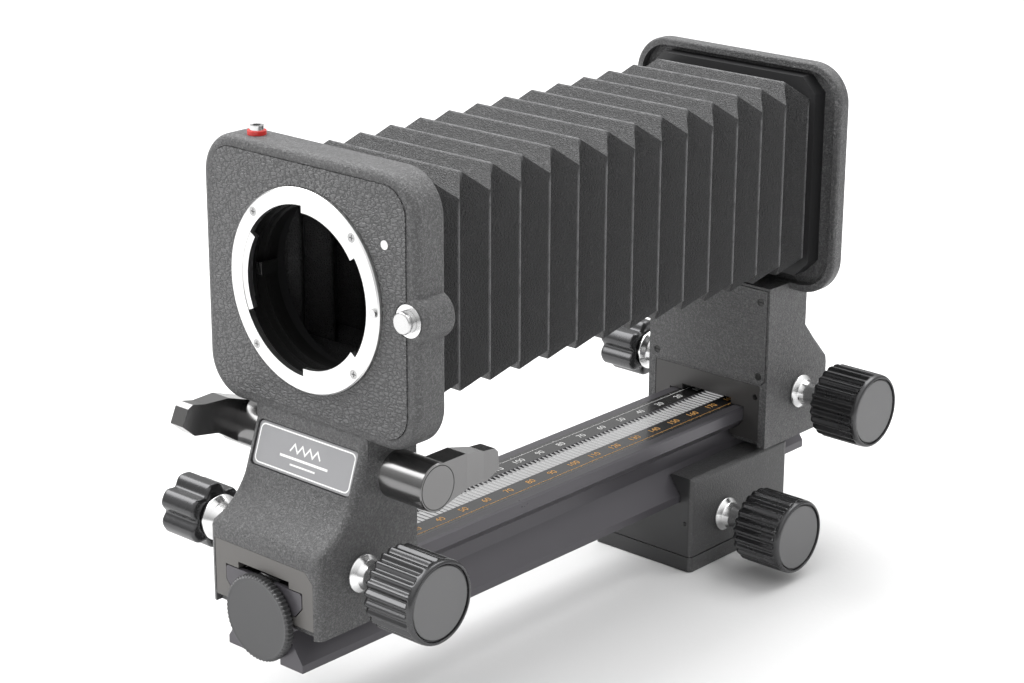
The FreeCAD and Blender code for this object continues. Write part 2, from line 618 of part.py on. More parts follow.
def nameplate_block(play, depth):
    """Rounded plate lying in the neck's leaning face, down to the given depth."""
    plate = rounded_panel(NAMEPLATE_WIDTH + 2 * play, NAMEPLATE_HEIGHT + 2 * play, 1.4,
                          -2.0 * play, depth, 0)
    plate.rotate(V(0, 0, 0), V(1, 0, 0), -NAMEPLATE_LEAN)
    y = LENS_Y + HEAD_FRONT + 0.4 - (NAMEPLATE_MIDDLE - 38.0) * 6.4 / 18.2
    plate.translate(V(0, y, AXIS_Z - NAMEPLATE_MIDDLE))
    return plate


def front_nameplate():
    inner = nameplate_block(0, NAMEPLATE_THICK)
    lean = math.radians(NAMEPLATE_LEAN)
    back = 1.4 - NAMEPLATE_THICK
    inner.translate(V(0, back * math.cos(lean), -back * math.sin(lean)))
    return inner


def front_leatherette():
    y0 = LENS_Y + HEAD_FRONT - LEATHER_PROUD
    panel = rounded_panel(LEATHER_WIDTH, LEATHER_HEIGHT, LEATHER_CORNER, y0, y0 + LEATHER_THICK, AXIS_Z)
    x, z = on_axis(*DOT_PLACE)
    return cut_all(panel, [rod_y(y0 - 1, y0 + 3, 0, AXIS_Z, MOUNT_R + 0.1),
                           rod_y(y0 - 1, y0 + 3, RELEASE_X, AXIS_Z, RELEASE_R + 2.0 + SEAT),
                           rod_y(y0 - 1, y0 + 3, x, z, 1.3)])


DOT_PLACE = (35.6, 32.3)


def front_index_dot():
    x, z = on_axis(*DOT_PLACE)
    y0 = LENS_Y + HEAD_FRONT - LEATHER_PROUD
    return rod_y(y0 - 0.1, y0 + LEATHER_THICK, x, z, 1.3 - SEAT)


def lens_mount_ring():
    """Female bayonet ring: flat flange, inner wall with three lugs, holes for screws and pin."""
    y = LENS_Y
    ring = turned_y([(y, THROAT_GAP_R), (y, MOUNT_R - 0.4), (y + 0.4, MOUNT_R), (y + 2.0, MOUNT_R),
                     (y + 2.0, THROAT_GAP_R)])
    lugs = [sector_y(y + 0.2, y + 1.8, THROAT_LUG_R, THROAT_GAP_R + 0.4, c, LUG_SPAN) for c in LUG_CENTRES]
    ring = fuse_all([ring] + lugs)
    cuts = [rod_y(y - 1, y + 3, MOUNT_SCREW_R + 0.3, AXIS_Z, LOCK_PIN_R + RUN)]
    for n in range(4):
        x, z = on_axis(MOUNT_SCREW_R, 45 + 90 * n)
        cuts.append(rod_y(y - 1, y + 3, x, z, 0.8 + SEAT))
        cuts.append(rod_y(y - 1, y + 0.7, x, z, 1.35))
    return cut_all(ring, cuts)


def lens_mount_screws():
    screws = []
    y = LENS_Y
    for n in range(4):
        x, z = on_axis(MOUNT_SCREW_R, 45 + 90 * n)
        body = rod_y(y + 0.7, y + 5.6, x, z, 0.8 - SEAT).fuse(rod_y(y + 0.05, y + 0.7, x, z, 1.35 - SEAT))
        slots = [box(x - 0.8, x + 0.8, y - 0.2, y + 0.4, z - 0.15, z + 0.15),
                 box(x - 0.15, x + 0.15, y - 0.2, y + 0.4, z - 0.8, z + 0.8)]
        screws.append(cut_all(body, slots))
    return Part.makeCompound(screws)


def lens_springs():
    """Three leaf springs that press the lens bayonet against the ring's lugs."""
    y = LENS_Y + 2.0
    return Part.makeCompound([sector_y(y, y + 0.4, THROAT_LUG_R + 0.4, TUBE_R - 0.1, c, LUG_SPAN - 16)
                              for c in LUG_CENTRES])


def front_throat():
    """Stepped light baffle behind the lens ring."""
    y = LENS_Y
    return turned_y([(y + 2.5, THROAT_GAP_R + 0.4), (y + 2.5, TUBE_R), (y + 9.0, TUBE_R), (y + 9.0, 23.0),
                     (y + 7.6, 23.0), (y + 7.6, 23.8), (y + 5.4, 23.8), (y + 5.4, THROAT_GAP_R + 0.4)])


def aperture_ring():
    """Turning ring with the tab that moves the lens diaphragm's lever."""
    y = LENS_Y + 9.0 + GAP
    ring = turned_y([(y, 23.2), (y, TUBE_R - 0.06), (y + 1.4, TUBE_R - 0.06), (y + 1.4, 23.2)])
    tab = box(-23.6, -21.2, LENS_Y + 4.6, y + 1.4, AXIS_Z - 0.8, AXIS_Z + 3.0)
    arm = box(-23.6, -21.2, y - 0.2, y + 1.4, AXIS_Z - 0.8, AXIS_Z + 3.0)
    tab = tab.cut(rod_y(LENS_Y + 4, y, 0, AXIS_Z, 30).cut(rod_y(LENS_Y + 4, y, 0, AXIS_Z, 22.7)))
    return fuse_all([ring, tab, arm])


def throat_retainer():
    """Ring that closes the throat and holds the turning ring in."""
    y = LENS_Y + 10.4 + 2 * GAP
    return turned_y([(y, 23.6), (y, TUBE_R), (LENS_Y + HEAD_REAR, TUBE_R), (LENS_Y + HEAD_REAR, 23.6)])


def guide_plate_outline(grow, foot_z):
    """Closed (x, z) outline of the front guide plate, one top corner cut off."""
    half = PLATE_WIDTH / 2 + grow
    top = AXIS_Z - PLATE_TOP + grow
    return [(half, foot_z), (half, top - 3.0), (half - 3.0, top), (-half, top), (-half, foot_z)]


def front_guide_plate():
    """Smooth plate on the foot's front, open round the rail's dovetail."""
    y0 = LENS_Y + BASE_FRONT
    plate = prism_y(guide_plate_outline(0, FOOT_Z + 2.4), y0 + 0.1, y0 + PLATE_THICK)
    return cut_all(plate, [prism_y(rail_section(SLIDE, FOOT_Z - 1), y0 - 1, y0 + PLATE_THICK + 1),
                           box(-SLOT_HALF, SLOT_HALF, y0 - 1, y0 + PLATE_THICK + 1, RAIL_TOP - 1,
                               RAIL_TOP + SLOT_HEIGHT)])


def release_collar():
    y0 = LENS_Y + HEAD_FRONT - 0.5
    r = RELEASE_R + 1.5 - SEAT
    return rod_y(y0, LENS_Y + 4.2, RELEASE_X, AXIS_Z, r).cut(rod_y(y0 - 1, y0 + 9, RELEASE_X, AXIS_Z,
                                                                  RELEASE_R + RUN))


def lens_release_button():
    y0 = LENS_Y - 1.6
    button = rod_y(y0, LENS_Y + HEAD_REAR - 3.4, RELEASE_X, AXIS_Z, RELEASE_R)
    return rounded_edges(button, 0.5, lambda p, e: abs(p.y - y0) < 0.01)


def lens_lock_pin():
    """Pin in the mount ring, and the bar that ties it to the button."""
    back = LENS_Y + HEAD_REAR - 3.4
    pin = rod_y(LENS_Y - 0.9, back, MOUNT_SCREW_R + 0.3, AXIS_Z, LOCK_PIN_R)
    bar = box(MOUNT_SCREW_R - 1.2, RELEASE_X + 1.6, back, back + 1.0, AXIS_Z - 1.9, AXIS_Z + 1.9)
    return pin.fuse(bar).removeSplitter()


def cable_socket():
    z0 = AXIS_Z + HEAD_HEIGHT / 2
    y = LENS_Y + CABLE_Y
    body = rod_z(z0 - 4.5, z0, CABLE_X, y, 1.9 - SEAT).fuse(rod_z(z0, z0 + 2.6, CABLE_X, y, 2.0))
    return body.removeSplitter().cut(rod_z(z0 - 2.5, z0 + 4, CABLE_X, y, 1.1))


def cable_socket_ring():
    z0 = AXIS_Z + HEAD_HEIGHT / 2
    y = LENS_Y + CABLE_Y
    return rod_z(z0 + 0.02, z0 + 1.2, CABLE_X, y, 2.7).cut(rod_z(z0 - 1, z0 + 4, CABLE_X, y, 2.0 + SEAT))


# ---- levers ----
def lever(side, lift):
    """Hub and paddle on the outer end of its shaft; the same lever serves both sides."""
    wall = FRONT_WIDTH / 2
    y, z = LENS_Y + LEVER_Y, AXIS_Z - LEVER_BELOW_AXIS
    x_in, x_out = wall + LEVER_INNER, wall + LEVER_OUTER
    end = LEVER_REACH
    outline = [(0, 6.6), (11, 6.7), (end - 6.5, 4.4), (end - 2, 4.0), (end - 0.6, 2.6), (end, -2.6),
               (end - 5.3, -4.9), (12.3, -3.6), (3, -6.0), (0, -6.4)]
    paddle = prism_x([(y + u, z + v) for u, v in outline], x_in, x_out)
    finger_rest = face_of([V(x_out + 6, y + 11.5, z - 9), V(x_out, y + 11.5, z - 9),
                           V(x_out - 1.7, y + end - 6.5, z - 9), V(x_out - 1.7, y + end + 1, z - 9),
                           V(x_out + 6, y + end + 1, z - 9)]).extrude(V(0, 0, 18))
    paddle = paddle.cut(finger_rest)
    hub = turned_x([(wall + 2.4, 0), (wall + 2.4, LEVER_HUB_R - 0.4), (wall + 2.8, LEVER_HUB_R),
                    (x_out - 0.3, LEVER_HUB_R), (x_out, LEVER_HUB_R - 0.3), (x_out, 0)], y, z)
    shaft = rod_x(wall - LEVER_SOCKET + 0.3, wall + 3, y, z, LEVER_SHAFT_R)
    arm = fuse_all([hub, paddle, shaft])
    if side < 0:
        arm.rotate(V(0, y, z), V(0, 0, 1), 180)
    if lift:
        arm.rotate(V(0, y, z), V(1, 0, 0), -lift)
    return arm


def lever_washer(side):
    wall = FRONT_WIDTH / 2
    y, z = LENS_Y + LEVER_Y, AXIS_Z - LEVER_BELOW_AXIS
    x0, x1 = sorted((side * wall, side * (wall + 2.1)))
    return rod_x(x0, x1, y, z, LEVER_HUB_R - 0.9).cut(rod_x(x0 - 1, x1 + 1, y, z, LEVER_SHAFT_R + RUN))


# ---- bellows ----
def fold_ring(index, y, inset):
    """Corner points of one fold line: even lines lie out at the sides, odd ones at top and foot."""
    x, z = ((FOLD_OUT_X, FOLD_OUT_Z - FOLD_DEPTH) if index % 2 == 0
            else (FOLD_OUT_X - FOLD_DEPTH, FOLD_OUT_Z))
    x, z = x - inset, z - inset
    return [V(sx * x, y, AXIS_Z + sz * z) for sx, sz in ((1, 1), (-1, 1), (-1, -1), (1, -1))]


def bellows(first, last):
    """Closed pleated skin between two fold lines, half a fold apart."""
    faces = []
    for inset in (0.0, BELLOWS_WALL):
        rings = [fold_ring(j, BELLOWS_FRONT + j * FOLD_PITCH / 2, inset) for j in range(first, last + 1)]
        for a, b in zip(rings, rings[1:]):
            for k in range(4):
                n = (k + 1) % 4
                faces.append(face_of([a[k], a[n], b[n], b[k]]))
    for j in (first, last):
        y = BELLOWS_FRONT + j * FOLD_PITCH / 2
        faces.append(face_of(fold_ring(j, y, 0.0)).cut(face_of(fold_ring(j, y, BELLOWS_WALL))).Faces[0])
    shell = Part.makeShell(faces)
    shell.sewShape()
    skin = Part.makeSolid(shell)
    if skin.Volume < 0:
        skin.reverse()
    return skin


def bellows_frame(y0, y1, opening):
    """Plate that the end of the bellows is glued to, with cut corners."""
    w, h, c = FRAME_HALF_X, FRAME_HALF_Z, FRAME_CORNER
    half = [(w - c, AXIS_Z + h), (w, AXIS_Z + h - c), (w, AXIS_Z - h + c), (w - c, AXIS_Z - h)]
    return prism_y(mirrored(half), y0, y1).cut(rod_y(y0 - 1, y1 + 1, 0, AXIS_Z, opening))


# ---- camera standard ----
def rear_profile():
    """Side outline (y, z) of the camera standard's body."""
    y0, z = REAR_FACE_Y, AXIS_Z
    return [(y0, FOOT_Z), (y0, z - 36.4), (DISH_FLOOR + 1.0, z - 36.4), (DISH_FLOOR + 1.0, z - 29.0),
            (y0 + 20.5, z - 29.0), (y0 + 20.5, z - 52.0), (y0 + 26.5, z - 59.0), (y0 + 34.0, z - 67.0),
            (y0 + 34.5, z - 69.5), (y0 + 34.5, FOOT_Z + 5.0), (y0 + 31.5, FOOT_Z + 1.0), (y0 + 28.5, FOOT_Z)]


def rear_casting():
    wall = REAR_WIDTH / 2
    middle = AXIS_Z - DISH_DROP
    dish = rounded_panel(DISH_WIDTH, DISH_HEIGHT, HEAD_CORNER, DISH_FRONT, DISH_REAR, middle)
    dish = rounded_edges(dish, 2.0, lambda p, e: abs(p.y - DISH_REAR) < 0.01)
    dish = rounded_edges(dish, 0.9, lambda p, e: abs(p.y - DISH_FRONT) < 0.01)
    hollow = rounded_panel(DISH_WIDTH - 2 * DISH_WALL, DISH_HEIGHT - 2 * DISH_WALL, HEAD_CORNER - DISH_WALL,
                           DISH_FRONT - 1, DISH_FLOOR, middle)
    dish = dish.cut(hollow)
    body = prism_x(rear_profile(), -wall, wall)
    body = body.cut(hollow)
    body = rounded_edges(body, 1.4, lambda p, e: abs(abs(p.x) - wall) < 0.01
                         and p.y > REAR_FACE_Y + 19 and FOOT_Z + 1 < p.z < AXIS_Z - 44)
    collar = rod_y(DISH_FLOOR, COLLAR_REAR, 0, AXIS_Z, COLLAR_R)
    boss = rod_y(DISH_FLOOR, COLLAR_REAR, RING_BUTTON_X, AXIS_Z, 6.4)
    casting = fuse_all([dish, body, collar, boss])
    panel = panel_outline(PANEL_GAP)
    cuts = [prism_y(panel, REAR_FACE_Y - 1, REAR_FACE_Y + PANEL_THICK),
            rod_y(DISH_FLOOR - 1, COLLAR_REAR + 1, 0, AXIS_Z, CAMERA_TUBE_R + 2.2),
            rod_y(DISH_FLOOR + 2.5, COLLAR_REAR + 1, 0, AXIS_Z, CAMERA_FLANGE_R - 2.0 + RUN),
            rod_y(COLLAR_REAR - 5.5, COLLAR_REAR + 1, RING_BUTTON_X, AXIS_Z, RELEASE_R + RUN)]
    cuts += foot_cuts(REAR_FACE_Y, REAR_FACE_Y + 35, REAR_SHAFT_Y, wall)
    half = REAR_PLATE_WIDTH / 2
    cuts.append(box(-half - 0.15, half + 0.15, REAR_FACE_Y - 1, REAR_FACE_Y + PLATE_THICK,
                    FOOT_Z - 1, AXIS_Z - REAR_PLATE_TOP + 0.15))
    for x, z in panel_screw_places():
        cuts.append(rod_y(REAR_FACE_Y - 1, REAR_FACE_Y + 7, x, z, 0.8))
    return cut_all(casting, cuts)


PANEL_HALF = 23.6
PANEL_TOP = 37.4
PANEL_FOOT = 69.5
PANEL_THICK = 1.2
PANEL_GAP = 0.15
REAR_PLATE_WIDTH = 43.0
REAR_PLATE_TOP = 70.4
RING_BUTTON_X = -34.0


def panel_outline(grow):
    w = PANEL_HALF + grow
    top, foot = AXIS_Z - PANEL_TOP + grow, AXIS_Z - PANEL_FOOT - grow
    return mirrored([(w, top), (w, foot + 1.5), (w - 1.5, foot)])


def panel_screw_places():
    return [(sx * (PANEL_HALF - 2.6), z) for sx in (-1, 1)
            for z in (AXIS_Z - PANEL_TOP - 4.0, AXIS_Z - PANEL_FOOT + 2.6)]


def rear_cover_panel():
    panel = prism_y(panel_outline(0), REAR_FACE_Y - 0.2, REAR_FACE_Y + PANEL_THICK)
    cuts = []
    for x, z in panel_screw_places():
        cuts.append(rod_y(REAR_FACE_Y - 1, REAR_FACE_Y + 2, x, z, 0.8 + SEAT))
        cuts.append(rod_y(REAR_FACE_Y - 1, REAR_FACE_Y + 0.5, x, z, 1.3))
    return cut_all(panel, cuts)


def rear_panel_screws():
    screws = []
    for x, z in panel_screw_places():
        shank = rod_y(REAR_FACE_Y + 0.5, REAR_FACE_Y + 6.5, x, z, 0.8 - SEAT)
        head = rod_y(REAR_FACE_Y, REAR_FACE_Y + 0.5, x, z, 1.3 - SEAT)
        slot = box(x - 1.3, x + 1.3, REAR_FACE_Y - 1, REAR_FACE_Y + 0.25, z - 0.2, z + 0.2)
        screws.append(shank.fuse(head).removeSplitter().cut(slot))
    return Part.makeCompound(screws)


def rear_guide_plate():
    half = REAR_PLATE_WIDTH / 2
    y0, y1 = REAR_FACE_Y + 0.1, REAR_FACE_Y + PLATE_THICK
    plate = box(-half, half, y0, y1, FOOT_Z + 2.0, AXIS_Z - REAR_PLATE_TOP)
    return cut_all(plate, [prism_y(rail_section(SLIDE, FOOT_Z - 1), y0 - 1, y1 + 1),
                           box(-SLOT_HALF, SLOT_HALF, y0 - 1, y1 + 1, RAIL_TOP - 1, RAIL_TOP + SLOT_HEIGHT),
                           rod_y(y0 - 1, y1 + 1, half - 1.6, AXIS_Z - 74.4, 1.0)])


def camera_mount_ring():
    """Male bayonet that turns in the camera standard."""
    y = CAMERA_FACE_Y
    seat = DISH_FLOOR + 2.5
    ring = turned_y([(seat + GAP, CAMERA_BORE_R), (seat + GAP, CAMERA_FLANGE_R - 2.0),
                     (COLLAR_REAR + 0.3, CAMERA_FLANGE_R - 2.0), (COLLAR_REAR + 0.3, CAMERA_FLANGE_R),
                     (y - 0.4, CAMERA_FLANGE_R), (y, CAMERA_FLANGE_R - 0.4), (y, CAMERA_TUBE_R),
                     (y + CAMERA_TUBE, CAMERA_TUBE_R), (y + CAMERA_TUBE, CAMERA_BORE_R)])
    lugs = [sector_y(y + CAMERA_TUBE - 1.6, y + CAMERA_TUBE, CAMERA_TUBE_R - 0.4, CAMERA_LUG_R, c,
                     CAMERA_LUG_SPAN) for c in CAMERA_LUG_CENTRES]
    return fuse_all([ring] + lugs)


def ring_retainer():
    """Spring washer ring that holds the turning bayonet from the bellows side."""
    y = DISH_FLOOR + 2.5
    return turned_y([(DISH_FLOOR, CAMERA_BORE_R + 0.4), (DISH_FLOOR, CAMERA_TUBE_R + 2.2 - SEAT),
                     (y - 0.1, CAMERA_TUBE_R + 2.2 - SEAT), (y - 0.1, CAMERA_BORE_R + 0.4)])


def ring_release_button():
    y1 = COLLAR_REAR + 2.4
    button = rod_y(COLLAR_REAR - 3.3, y1, RING_BUTTON_X, AXIS_Z, RELEASE_R)
    return rounded_edges(button, 0.5, lambda p, e: abs(p.y - y1) < 0.01)


# ---- write the parts ----
def save(name, shape):
    if not shape.isValid():
        raise ValueError(name + " is not a valid shape")
    shape.exportStep("parts/" + name + ".step")


def save_drive(prefix, wall, y, z, teeth, width, below):
    """Knob, pinion shaft, bush, lock cone, lock screw and star knob of one drive."""
    left_end = -(HEAD_HALF + BUSH_WALL)
    bush_depth = wall + left_end - SEAT
    save(prefix + "_drive_knob", drive_knob(wall, y, z))
    save(prefix + "_pinion_shaft", pinion_shaft(wall, y, z, teeth, width, left_end, below))
    save(prefix + "_bush", bush(wall, y, z, bush_depth))
    save(prefix + "_lock_cone", lock_cone(wall, y, z))
    save(prefix + "_lock_knob", star_knob(wall, y, z))
    save(prefix + "_lock_screw", lock_screw(wall, y, z, left_end - GAP))


def main():
    os.makedirs("parts", exist_ok=True)
    save("rail", rail())
    save("upper_rack", upper_rack())
    save("lower_rack", lower_rack())
    save("left_scale", scale(-1))
    save("right_scale", scale(1))
    save("rail_stop_screws", rail_stop_screws())
    save("end_disc_knob", end_disc_knob())

    save("block_body", block_body())
    save("block_base_plate", block_base_plate())
    save("base_plate_screws", base_plate_screws())
    save("tripod_bush", tripod_bush())
    save_drive("block", BLOCK_WIDTH / 2, BLOCK_SHAFT_Y, BLOCK_SHAFT_Z, BLOCK_PINION_TEETH, 5.0, -1)

    save("front_casting", front_casting())
    save("front_leatherette", front_leatherette())
    save("front_index_dot", front_index_dot())
    save("front_nameplate", front_nameplate())
    save("front_guide_plate", front_guide_plate())
    save("lens_mount_ring", lens_mount_ring())
    save("lens_mount_screws", lens_mount_screws())
    save("lens_springs", lens_springs())
    save("front_throat", front_throat())
    save("throat_retainer", throat_retainer())
    save("aperture_ring", aperture_ring())
    save("release_collar", release_collar())
    save("lens_release_button", lens_release_button())
    save("lens_lock_pin", lens_lock_pin())
    save("cable_socket", cable_socket())
    save("cable_socket_ring", cable_socket_ring())
    save("stop_down_lever", lever(1, 0))
    save("stop_down_washer", lever_washer(1))
    save("lever_lock", lever(-1, LEFT_LEVER_LIFT))
    save("lever_lock_washer", lever_washer(-1))
    save_drive("front", FRONT_WIDTH / 2, FRONT_SHAFT_Y, SHAFT_Z, PINION_TEETH, 7.0, 1)

    save("bellows_front_frame", bellows_frame(LENS_Y + HEAD_REAR, BELLOWS_FRONT, TUBE_R - 0.6))
    save("bellows_front", bellows(0, FOLDS))
    save("bellows_rear", bellows(FOLDS, 2 * FOLDS))
    save("bellows_rear_frame", bellows_frame(BELLOWS_REAR, DISH_FLOOR, TUBE_R - 0.6))

    save("rear_casting", rear_casting())
    save("rear_cover_panel", rear_cover_panel())
    save("rear_panel_screws", rear_panel_screws())
    save("rear_guide_plate", rear_guide_plate())
    save("camera_mount_ring", camera_mount_ring())
    save("ring_retainer", ring_retainer())
    save("ring_release_button", ring_release_button())
    save_drive("rear", REAR_WIDTH / 2, REAR_SHAFT_Y, SHAFT_Z, PINION_TEETH, 7.0, 1)


main()
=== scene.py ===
import math

import bmesh
import bpy
from bpy.props import FloatProperty, FloatVectorProperty, IntProperty, PointerProperty
from mathutils import Matrix, Vector, noise


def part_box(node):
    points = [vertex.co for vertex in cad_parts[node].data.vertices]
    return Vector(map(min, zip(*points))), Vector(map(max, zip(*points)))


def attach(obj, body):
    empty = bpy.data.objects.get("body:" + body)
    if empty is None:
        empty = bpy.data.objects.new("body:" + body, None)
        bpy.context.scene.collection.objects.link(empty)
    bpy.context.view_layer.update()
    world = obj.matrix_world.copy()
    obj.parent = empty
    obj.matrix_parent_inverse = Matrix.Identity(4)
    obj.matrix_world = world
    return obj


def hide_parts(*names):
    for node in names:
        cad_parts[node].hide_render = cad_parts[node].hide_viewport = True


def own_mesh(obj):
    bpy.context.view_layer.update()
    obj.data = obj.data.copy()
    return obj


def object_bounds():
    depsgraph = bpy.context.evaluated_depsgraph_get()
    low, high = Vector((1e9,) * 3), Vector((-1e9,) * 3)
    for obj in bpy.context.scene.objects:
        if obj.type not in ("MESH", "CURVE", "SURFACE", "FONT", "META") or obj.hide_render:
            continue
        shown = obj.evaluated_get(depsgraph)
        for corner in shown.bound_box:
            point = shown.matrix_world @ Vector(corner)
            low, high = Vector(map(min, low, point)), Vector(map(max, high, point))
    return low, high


bl_info = {
    "name": "Bellows attachment finishes",
    "version": (1, 0, 0),
    "blender": (4, 5, 0),
    "location": "View3D > Sidebar > Bellows",
    "description": "Finishes, folded cloth, fluted knobs and scales for a macro bellows attachment",
    "category": "Object",
}

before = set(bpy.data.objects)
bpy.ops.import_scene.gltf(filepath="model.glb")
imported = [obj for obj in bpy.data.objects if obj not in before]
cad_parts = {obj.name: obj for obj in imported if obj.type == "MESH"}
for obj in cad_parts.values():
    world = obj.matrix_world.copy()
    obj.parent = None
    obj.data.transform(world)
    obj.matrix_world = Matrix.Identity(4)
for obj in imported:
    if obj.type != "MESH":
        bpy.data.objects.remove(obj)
CAD_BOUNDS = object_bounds()

MM = 0.001
FOLDS_PER_HALF = 7                    # folds in each half of the bellows
CLOTH_THICKNESS = 0.6 * MM
SCALE_STEP = 10 * MM                  # between figures on the rail's scales
NAMEPLATE_LEAN = math.radians(18.9)   # from the vertical
NAMEPLATE_HEIGHT = 12.6 * MM
NAMEPLATE_THICK = 0.8 * MM
FIRST_FIGURE = 22.3 * MM              # a scale's first figure, from the strip's front end
SCALE_END_MARGIN = 3 * MM             # no figure nearer the strip's rear end
FIGURE_HEIGHT = 3.3 * MM
PRINT_LIFT = 0.03 * MM                # printed ink above what it is printed on
BLOCK_HOLE_AT = (17.4 * MM, 16.6 * MM)
BLOCK_HOLE_R = 0.75 * MM
TAU = 2 * math.pi


# ---- settings ----
def length(label, text, value):
    return FloatProperty(name=label, description=text, default=value, min=0.0, unit="LENGTH", precision=5)


def colour(label, text, value):
    return FloatVectorProperty(name=label, description=text, default=value, subtype="COLOR", min=0.0, max=1.0)


class BellowsClothSettings(bpy.types.PropertyGroup):
    fold_depth: length("Fold depth", "How far each fold stands out from its valley", 5.5 * MM)
    panel_bow: length("Panel bow", "How far the cloth pulls in between two folds", 0.3 * MM)
    cloth: colour("Cloth", "Coated cloth between the folds", (0.026, 0.026, 0.027))
    crease: colour("Crease", "Rubbed cloth along the folds", (0.17, 0.17, 0.174))


class KnobSettings(bpy.types.PropertyGroup):
    flutes: IntProperty(name="Flutes", description="Grooves round a drive knob", default=24, min=3)
    flute_depth: length("Flute depth", "Depth of a drive knob's grooves", 1.0 * MM)
    lobes: IntProperty(name="Lobes", description="Lobes of a lock knob", default=6, min=3)
    lobe_depth: length("Lobe depth", "Depth between a lock knob's lobes", 2.1 * MM)
    milling: IntProperty(name="Milling", description="Ridges round the rail's end disc", default=60, min=3)
    body: colour("Knob", "Black anodised knobs", (0.075, 0.075, 0.077))
    disc: colour("Knob ends", "Satin grey discs let into the drive knobs", (0.13, 0.13, 0.132))
    rail_disc: colour("Rail disc", "Milled disc on the rail's front end", (0.085, 0.085, 0.087))


class PaintSettings(bpy.types.PropertyGroup):
    enamel: colour("Enamel", "Wrinkle enamel on the castings", (0.062, 0.062, 0.063))
    # the lighter grey here is a painted highlight laid on the wrinkle peaks
    fleck: colour("Enamel peaks", "Bright peaks of the wrinkle enamel", (0.135, 0.135, 0.137))
    wrinkle: length("Wrinkle size", "Width of one wrinkle in the enamel", 0.62 * MM)
    pebble: length("Pebble size", "Width of one pebble of the leatherette", 1.4 * MM)


class StageSettings(bpy.types.PropertyGroup):
    lens: FloatProperty(name="Lens", description="Focal length of the camera", default=86.11, unit="CAMERA")
    azimuth: FloatProperty(name="Azimuth", description="Angle round the object", default=math.radians(41.77),
                           subtype="ANGLE")
    elevation: FloatProperty(name="Elevation", description="Angle above the object",
                             default=math.radians(18.70), subtype="ANGLE")
    roll: FloatProperty(name="Roll", description="Roll of the camera", default=math.radians(0.26),
                        subtype="ANGLE")
    station: FloatVectorProperty(name="Station", description="Where the camera stands",
                                 default=(0.4635, -0.6098, 0.3267), subtype="XYZ", unit="LENGTH")


# ---- shader helpers ----
def shader_group(name, inputs, outputs):
    """Empty shader node group with float inputs {name: default} and typed outputs {name: socket type}."""
    tree = bpy.data.node_groups.new(name, "ShaderNodeTree")
    tree.interface.new_socket("Vector", in_out="INPUT", socket_type="NodeSocketVector")
    for label, value in inputs.items():
        socket = tree.interface.new_socket(label, in_out="INPUT", socket_type="NodeSocketFloat")
        socket.default_value = value
    for label, kind in outputs.items():
        tree.interface.new_socket(label, in_out="OUTPUT", socket_type=kind)
    return tree, tree.nodes.new("NodeGroupInput"), tree.nodes.new("NodeGroupOutput")


def add(tree, kind, links=None, **settings):
    """New node: links maps input names to sockets or values, settings are node attributes."""
    node = tree.nodes.new(kind)
    for key, value in settings.items():
        setattr(node, key, value)
    for key, value in (links or {}).items():
        if isinstance(value, bpy.types.NodeSocket):
            tree.links.new(value, node.inputs[key])
        else:
            node.inputs[key].default_value = value
    return node


def maths(tree, operation, first, second=None, third=None):
    links = {0: first}
    if second is not None:
        links[1] = second
    if third is not None:
        links[2] = third
    return add(tree, "ShaderNodeMath", links, operation=operation).outputs[0]


def ramp(tree, value, low, high):
    """Smooth step from 0 at low to 1 at high."""
    node = add(tree, "ShaderNodeMapRange", {0: value, 1: low, 2: high}, interpolation_type="SMOOTHSTEP")
    return node.outputs[0]


def wrinkle_group():
    """Wrinkle enamel: short ridges of one size, with the height and a mask of the highest ridges for a
    painted highlight.
    """
    tree, given, result = shader_group("WrinkleEnamel", {"Size": 0.55 * MM, "Peaks": 0.6},
                                       {"Height": "NodeSocketFloat", "Highlight": "NodeSocketFloat"})
    per_metre = maths(tree, "DIVIDE", 1.0, given.outputs["Size"])
    ridges = add(tree, "ShaderNodeTexNoise", {"Vector": given.outputs["Vector"], "Scale": per_metre,
                                              "Detail": 2.0, "Roughness": 0.6, "Distortion": 1.2})
    cells = add(tree, "ShaderNodeTexVoronoi", {"Vector": given.outputs["Vector"], "Scale": per_metre},
                feature="SMOOTH_F1")
    height = maths(tree, "MULTIPLY_ADD", cells.outputs["Distance"], -0.45, ridges.outputs[0])
    top = maths(tree, "ADD", given.outputs["Peaks"], 0.16)
    # painted highlight mask: 1 on the highest ridges of the wrinkles
    highlight_mask = add(tree, "ShaderNodeMapRange", {0: ridges.outputs[0], 1: given.outputs["Peaks"], 2: top})
    tree.links.new(height, result.inputs["Height"])
    tree.links.new(highlight_mask.outputs[0], result.inputs["Highlight"])
    return tree


def pebble_group():
    """Pebble grain of leather: rounded cells with narrow valleys and fine pores."""
    tree, given, result = shader_group("PebbleGrain", {"Size": 1.0 * MM, "Pores": 0.25},
                                       {"Height": "NodeSocketFloat", "Valley shade": "NodeSocketFloat"})
    per_metre = maths(tree, "DIVIDE", 1.0, given.outputs["Size"])
    warp = add(tree, "ShaderNodeTexNoise", {"Vector": given.outputs["Vector"], "Scale": per_metre,
                                            "Detail": 1.0})
    pull = add(tree, "ShaderNodeVectorMath", {0: warp.outputs["Color"], "Scale": given.outputs["Size"]},
               operation="SCALE")
    moved = add(tree, "ShaderNodeVectorMath", {0: given.outputs["Vector"], 1: pull.outputs[0]},
                operation="ADD")
    edges = add(tree, "ShaderNodeTexVoronoi", {"Vector": moved.outputs[0], "Scale": per_metre},
                feature="DISTANCE_TO_EDGE").outputs["Distance"]
    fine = add(tree, "ShaderNodeTexNoise", {"Vector": given.outputs["Vector"],
                                            "Scale": maths(tree, "MULTIPLY", per_metre, 4.0), "Detail": 2.0})
    dome = ramp(tree, edges, 0.0, 0.3)
    height = maths(tree, "MULTIPLY_ADD", fine.outputs[0], given.outputs["Pores"], dome)
    tree.links.new(height, result.inputs["Height"])
    # painted shade mask: 1 in the narrow valleys between the cells
    tree.links.new(ramp(tree, edges, 0.14, 0.02), result.inputs["Valley shade"])
    return tree


